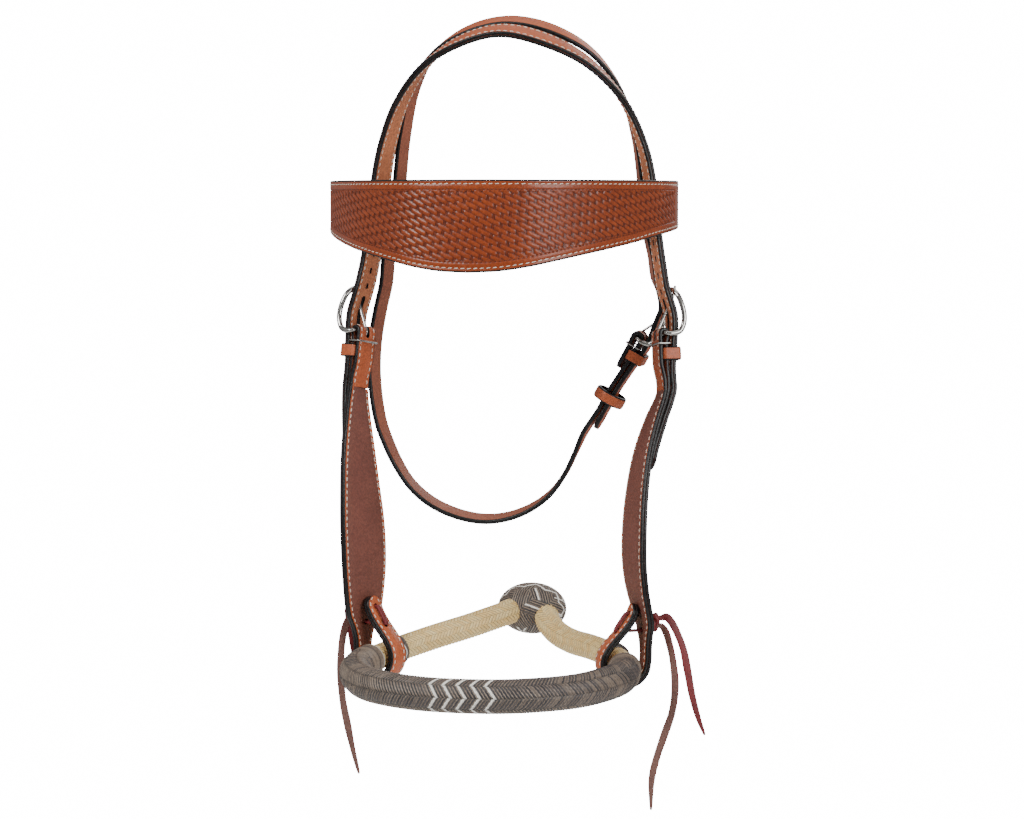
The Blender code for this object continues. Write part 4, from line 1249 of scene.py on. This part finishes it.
def buckles():
    loop = (STRAP_HALF + GAP + LOOP_WIRE, -5.6, 4.0, -7.5)
    sizes = (FRAME_SIDE, FRAME_TOP_OUT, FRAME_TOP, BAR_WIRE, TONGUE_WIRE, LOOP_WIRE, loop)
    for prefix, side in SIDES:
        names = [f"{prefix}_buckle_wire", f"{prefix}_buckle_prong", f"{prefix}_buckle_staple"]
        nodes = [f"{prefix}_cheek_{piece}" for piece in ("buckle", "tongue", "wire_loop")]
        bodies = [f"{prefix}_buckle", f"{prefix}_tongue", "headstall"]
        buckle(names, nodes, bodies, BAR_FRAME, side, sizes)
    loop = (THROAT_HALF + GAP + THROAT_LOOP_WIRE, -5.7, 5.7, -6.5)
    sizes = (
        THROAT_FRAME_SIDE, THROAT_FRAME_TOP_OUT, THROAT_FRAME_TOP, THROAT_BAR_WIRE, THROAT_TONGUE_WIRE,
        THROAT_LOOP_WIRE, loop,
    )
    names = ["throat_buckle_wire", "throat_buckle_prong", "throat_buckle_staple"]
    nodes = ["throat_buckle", "throat_tongue", "throat_wire_loop"]
    buckle(names, nodes, ["throat_frame", "throat_prong", "throatlatch"], THROAT_FRAME, NEAR, sizes)


# ---------------------------------------------------------------- noseband

def scattered(*numbers):
    """A number from 0 to 1 that depends only on the whole numbers given."""
    total = sum(n * k for n, k in zip(numbers, (127.1, 311.7, 74.7)))
    value = np.sin(total) * 43758.5453
    return value - np.floor(value)


def braid_piece(name, line, radius, height, tone, finish, side=NEAR):
    """A braided tube round the line. Height is added to the radius, and tone colours each face.

    Both are arrays of rings x sides.
    """
    count = height.shape[1]
    base = np.broadcast_to(np.asarray(radius, float), (len(line),))
    shell = rings(line, base[:, None] + height, count, about=(0, 0, 1))
    lines = len(line)
    close = []
    for k, spot in ((0, line[0]), (-1, line[-1])):
        close.append(spot + (shell[k] - spot) * 0.55)
    points = np.concatenate([close[:1], shell, close[1:]])
    faces = lattice(lines + 2, count)[:, ::-1].tolist() + end_caps(lines + 2, count)
    made = made_piece(name, flipped(points.reshape(-1, 3), side), faces, [finish], crease=75)
    turned_out(made)
    face_tone = np.concatenate([tone[:1], tone, tone[-1:]])[:-1]
    face_tone = np.concatenate([face_tone.ravel(), [0.3, 0.3]])
    # the relief marked here is darkened in the grooves by the braid material as painted shade
    span = max(np.ptp(height), 1e-6)
    level = (height - height.min()) / span
    level = np.concatenate([level[:1], level, level[-1:]])
    return marked(made, face_tone, level.ravel())


def herringbone(s, turn, radius, bands=8, pitch=2.35, lean=0.6):
    """Height from 0 to 1, strand, band and place across the strand, of a herringbone braid."""
    share = turn / (2 * math.pi) * bands
    band = np.floor(share)
    y = part(share)
    width = 2 * math.pi * radius / bands
    slant = np.where(np.mod(band, 2) == 0, 1.0, -1.0)
    at = s / pitch + slant * lean * y * width / pitch + 0.25 * slant
    strand = np.floor(at)
    x = part(at)
    height = dome(2.05 * x) * (1 - np.abs(2 * y) ** 7)
    return height, strand, band, x


def fine_line(points, total, start, end, step):
    want = np.linspace(start, end, max(int((end - start) / step), 2) + 1)
    return np.stack([np.interp(want, total, points[:, k]) for k in range(3)], axis=1), want


def noseband():
    off, near = (np.array([*NOSE_HALF, *SHANKS[side]], float) for side in (OFF, NEAR))
    whole = smooth(np.concatenate([off[::-1] * (-1, 1, 1), near[1:]]))
    total = along(whole)
    front = int(np.abs(whole[:, 0]).argmin())
    middle = total[front] - whole[front, 0]
    ways = {
        NEAR: (whole, total, middle),
        OFF: (whole[::-1] * (-1, 1, 1), total[-1] - total[::-1], total[-1] - middle),
    }
    hung = total[nearest(whole, np.array(HANGER))] - middle
    shanks(ways, hung - NOSE_BUTTON_END)
    nose_button(whole, total, middle, hung - NOSE_BUTTON_END)
    side_buttons(ways, hung)


def shanks(ways, reach):
    """Rawhide over both halves, from the heel knot to well inside the nose button."""
    bands = 12
    turn = turned(112)
    for prefix, side in SIDES:
        points, far, front = ways[side]
        line, s = fine_line(points, far, front + reach - 25, far[-1], 0.5)
        _, strand, band, x = herringbone(s[:, None], turn, SHANK_RADIUS, bands, pitch=3.1, lean=0.85)
        share = turn / (2 * np.pi) * bands
        level = (1 - (2 * x) ** 2) * (1 - 0.55 * (2 * part(share)) ** 6)
        # painted highlight: the raised middle of each strand is lighter
        tone = 0.36 + 0.36 * scattered(strand, band) + 0.2 * level
        made = braid_piece(
            f"{prefix}_shank_plait", line, SHANK_RADIUS - 0.4, level * 0.6, tone, M["rawhide"], side
        )
        joined_to(made, "noseband", "rawhide", *(["shank_braid"] if side == NEAR else []))


def nose_button(whole, total, middle, reach):
    """Herringbone in the middle, and fine wraps towards the rounded ends."""
    line, s = fine_line(whole, total, middle - reach, middle + reach, 0.3)
    s = (s - middle)[:, None]
    turn = turned(128)
    level, strand, band, across_strand = herringbone(s, turn, BUTTON_RADIUS)
    wrap_from = reach - 27 + 5 * np.sin(2.0 * turn + 0.7)
    wrapped = np.clip((np.abs(s) - wrap_from) / 9, 0, 1)
    fine = s / 1.05 + 0.25 * np.sin(turn * 2 + s / 7)
    wrap_level = dome(1.8 * part(fine))
    height = level * 0.75 * (1 - wrapped) + wrapped * (0.42 + 0.3 * wrap_level)
    shade = scattered(strand, band, 1)
    body = 0.06 + 0.46 * shade + 0.12 * np.clip((np.abs(s) - 40) / 40, 0, 1)
    # painted highlight: a lighter line along one edge of each strand, where the edge would catch light
    edge_highlight = 0.66 + 0.2 * scattered(strand, band, 5)
    tone = np.where(across_strand > 0.17, edge_highlight, body)
    white = (np.mod(strand, 4) == 0) & (np.abs(strand) <= 8)
    tone = np.where(white & (np.abs(across_strand) < 0.42), 1.0, tone)
    wrap_tone = 0.46 + 0.36 * scattered(np.floor(fine), 3)
    tone = np.where(wrapped > 0.5, wrap_tone, tone)
    left = reach - np.abs(s[:, 0])
    tone[(left > 2.3) & (left < 3.4)] = 1.0
    fall = np.where(left < 4.5, 2.6 * (1 - dome(1 - left / 4.5)), 0)
    made = braid_piece("nose_braid", line, BUTTON_RADIUS - 0.75 - fall, height, tone, M["dark"])
    joined_to(made, "noseband", "dark_braid", "nose_button")


def side_buttons(ways, hung):
    """Short buttons behind the hangers."""
    for prefix, side in SIDES:
        points, far, front = ways[side]
        start, end = (front + hung + at for at in SIDE_BUTTON)
        line, s = fine_line(points, far, start, end, 0.25)
        s = (s - s.mean())[:, None]
        turn = turned(80)
        fine = s / 1.2 + 0.3 * np.sin(turn * 3)
        level = 0.45 * dome(1.8 * part(fine))
        tone = 0.3 + 0.45 * scattered(np.floor(fine), np.floor(turn * 2))
        tone = np.where(np.abs(s - 0.9 * np.cos(turn * 4)) < 0.55, 1.0, tone)
        left = 5.0 - np.abs(s[:, 0])
        radius = SIDE_BUTTON_RADIUS - 0.45 - 1.9 * (1 - dome(1 - np.clip(left / 3.2, 0, 1)))
        made = braid_piece(f"{prefix}_side_braid", line, radius, level, tone, M["dark"], side)
        joined_to(made, "noseband", "dark_braid", f"{prefix}_side_button")


GOLDEN_ANGLE = 2.39996


def heel():
    """An oval knot of fine strands laid over each other at slants, with white zigzags round it."""
    tall, count = 230, 300
    polar = np.pi * (np.arange(tall) + 0.5)[:, None] / tall
    turn = turned(count)
    direction = np.stack(np.broadcast_arrays(
        np.sin(polar) * np.cos(turn), -np.cos(polar), np.sin(polar) * np.sin(turn)
    ), axis=-1)
    size = np.array(HEEL_KNOT_SIZE) - 0.4
    shell = direction * size
    # bundles of strands laid over each other: each spot belongs to the nearest bundle's middle
    bundles = 30
    k = np.arange(bundles)
    low = 1 - 2 * (k + 0.5) / bundles
    round_at = k * GOLDEN_ANGLE
    flat = np.sqrt(1 - low**2)
    heart = np.stack([flat * np.cos(round_at), low, flat * np.sin(round_at)], axis=1)
    own = (direction @ heart.T).argmax(axis=2)
    slants = np.where(k % 2 == 0, 1.0, -1.0) * (0.55 + 0.6 * scattered(k, 2))
    ring_way = unit(np.cross(heart, (0, 1, 0)))
    laid = np.cross(heart, ring_way) * np.cos(slants)[:, None] + ring_way * np.sin(slants)[:, None]
    at = (shell * laid[own]).sum(axis=2) / 1.9
    strand = np.floor(at)
    x = part(at)
    level = dome(2.0 * x)
    shade = scattered(strand, own)
    # painted highlight: one edge of each strand is lighter, where it would catch light
    tone = np.where(x > 0.14, 0.66 + 0.22 * scattered(strand, own, 3), 0.06 + 0.5 * shade)
    tone = np.where((shade > 0.86) & (np.abs(x) < 0.36), 1.0, tone)
    reach = 0.11
    for middle, phase in ((-0.36, 0.0), (0.05, 0.5)):
        wave = 2 * np.abs(np.mod(turn * 9 / np.pi + phase, 2) - 1) - 1
        zigzag = polar - np.pi / 2 - middle - reach * wave
        tone = np.where(np.abs(zigzag) < 0.036, 1.0, tone)
        level = np.where(np.abs(zigzag) < 0.05, 1.0, level)
    points = np.array(HEEL_KNOT) + direction * (size + 0.7 * level[..., None] - 0.35)
    faces = lattice(tall, count).tolist() + [cap[::-1] for cap in end_caps(tall, count)]
    made = made_piece("heel_braid", points.reshape(-1, 3), faces, [M["dark"]], crease=75)
    turned_out(made)
    face_tone = np.concatenate([tone[:-1].ravel(), [0.3, 0.3]])
    # the level marked as relief is darkened in the grooves as painted shade
    marked(made, face_tone, level.ravel())
    joined_to(made, "noseband", "dark_braid", "heel_knot")


# ---------------------------------------------------------------- laces

def ribbon(name, line, half, thick, facing, finishes, side=NEAR):
    """A flat thong along the line, whose face looks along facing at each point."""
    line = np.asarray(line, float)
    ahead = unit(np.gradient(line, axis=0))
    normal = square_to(facing, ahead)
    across = np.cross(normal, ahead)
    turn = 2 * np.pi * np.arange(16) / 16
    ca, sa = np.cos(turn), np.sin(turn)
    a = np.sign(ca) * np.abs(ca) ** 0.5
    n = np.sign(sa) * np.abs(sa) ** 0.5
    half = np.broadcast_to(half, len(line))[:, None, None]
    thick = np.broadcast_to(thick, len(line))[:, None, None]
    points = line[:, None] + across[:, None] * a[:, None] * half
    points = points + normal[:, None] * n[:, None] * thick / 2
    faces = lattice(len(line), 16)[:, ::-1].tolist() + end_caps(len(line), 16)
    edge = (np.abs(ca + np.roll(ca, -1)) > 1.1).astype(int)
    which = [*np.tile(edge, len(line) - 1).tolist(), 1, 1]
    made = made_piece(name, flipped(points.reshape(-1, 3), side), faces, finishes, which)
    return turned_out(made)


TWISTS = {
    "near_lace_tail_short": (0.5, 0.1, "red"), "near_lace_tail_long": (-0.5, 0.35, "greyed"),
    "off_lace_tail_long": (0.6, -0.3, "greyed"), "off_lace_tail_short": (0.2, 0.7, "red"),
}


def laces():
    for name, route in TAILS.items():
        root = place(HANGER_FRAME, 0, KNOT_OUT + 1, route[0][2] - HANGER[2])
        root = flipped(root, np.sign(route[0][0]))
        line = smooth(np.array([root, *route], float), 1.5)
        far = along(line)
        left = far[-1] - far
        from_twist, to_twist, face = TWISTS[name]
        twist = from_twist + (to_twist - from_twist) * far / far[-1]
        facing = np.stack([np.sin(twist), -np.cos(twist), np.zeros(len(line))], axis=1)
        taper = np.clip(left / 34, 0, 1) ** 0.6
        half = (0.75 + (LACE_WIDTH / 2 - 0.75) * taper) * (1 + 0.05 * np.sin(far / 6.0))
        half *= np.clip(0.5 + far / 16, 0, 1)
        tail = ribbon(f"{name}_thong", line, half, 0.7 + 1.3 * taper, facing, [M[face], M["red"]])
        joined_to(tail, "headstall", "latigo_thong", name)

    low, high = LACE_HOLES
    out_end = KNOT_OUT - 2.9
    staple = [
        (out_end, high), (4, high), (2, high - 0.2), (1, high - 1.3), (-5.6, low + 1.3), (-5.9, low + 0.4),
        (-4.8, low), (out_end, low),
    ]
    t = np.linspace(0.12, 2 * np.pi - 0.12, 90)
    loop = np.stack([np.sin(t) + 2 * np.sin(2 * t), np.cos(t) - 2 * np.cos(2 * t), -np.sin(3 * t)], axis=1)
    for prefix, side in SIDES:
        line = smooth(np.array([place(HANGER_FRAME, 0, n, u) for n, u in staple]), 0.8)
        facing = np.cross(np.gradient(line, axis=0), HANGER_FRAME[1])
        made = ribbon(f"{prefix}_lace_thong", line, 1.75, 2.2, facing, materials("red red"), side)
        joined_to(made, "headstall", "latigo_thong", f"{prefix}_lace")
        middle = (low + high) / 2
        knot = np.array([
            place(HANGER_FRAME, 1.05 * a, KNOT_OUT + 1.35 * n, middle + 2.1 * u) for a, u, n in loop
        ])
        made = tube_piece(f"{prefix}_lace_overhand", knot, 1.75, M["red"], side, sides=14)
        joined_to(made, "headstall", "latigo_thong", f"{prefix}_lace_knot")


# ---------------------------------------------------------------- everything

studio()
M = make_materials()
laces()
cheeks()
crown()
throatlatch()
browband()
keepers()
buckles()
noseband()
heel()
frame["nodes"]["bosal_core"].data.materials.clear()
frame["nodes"]["bosal_core"].data.materials.append(M["core"])
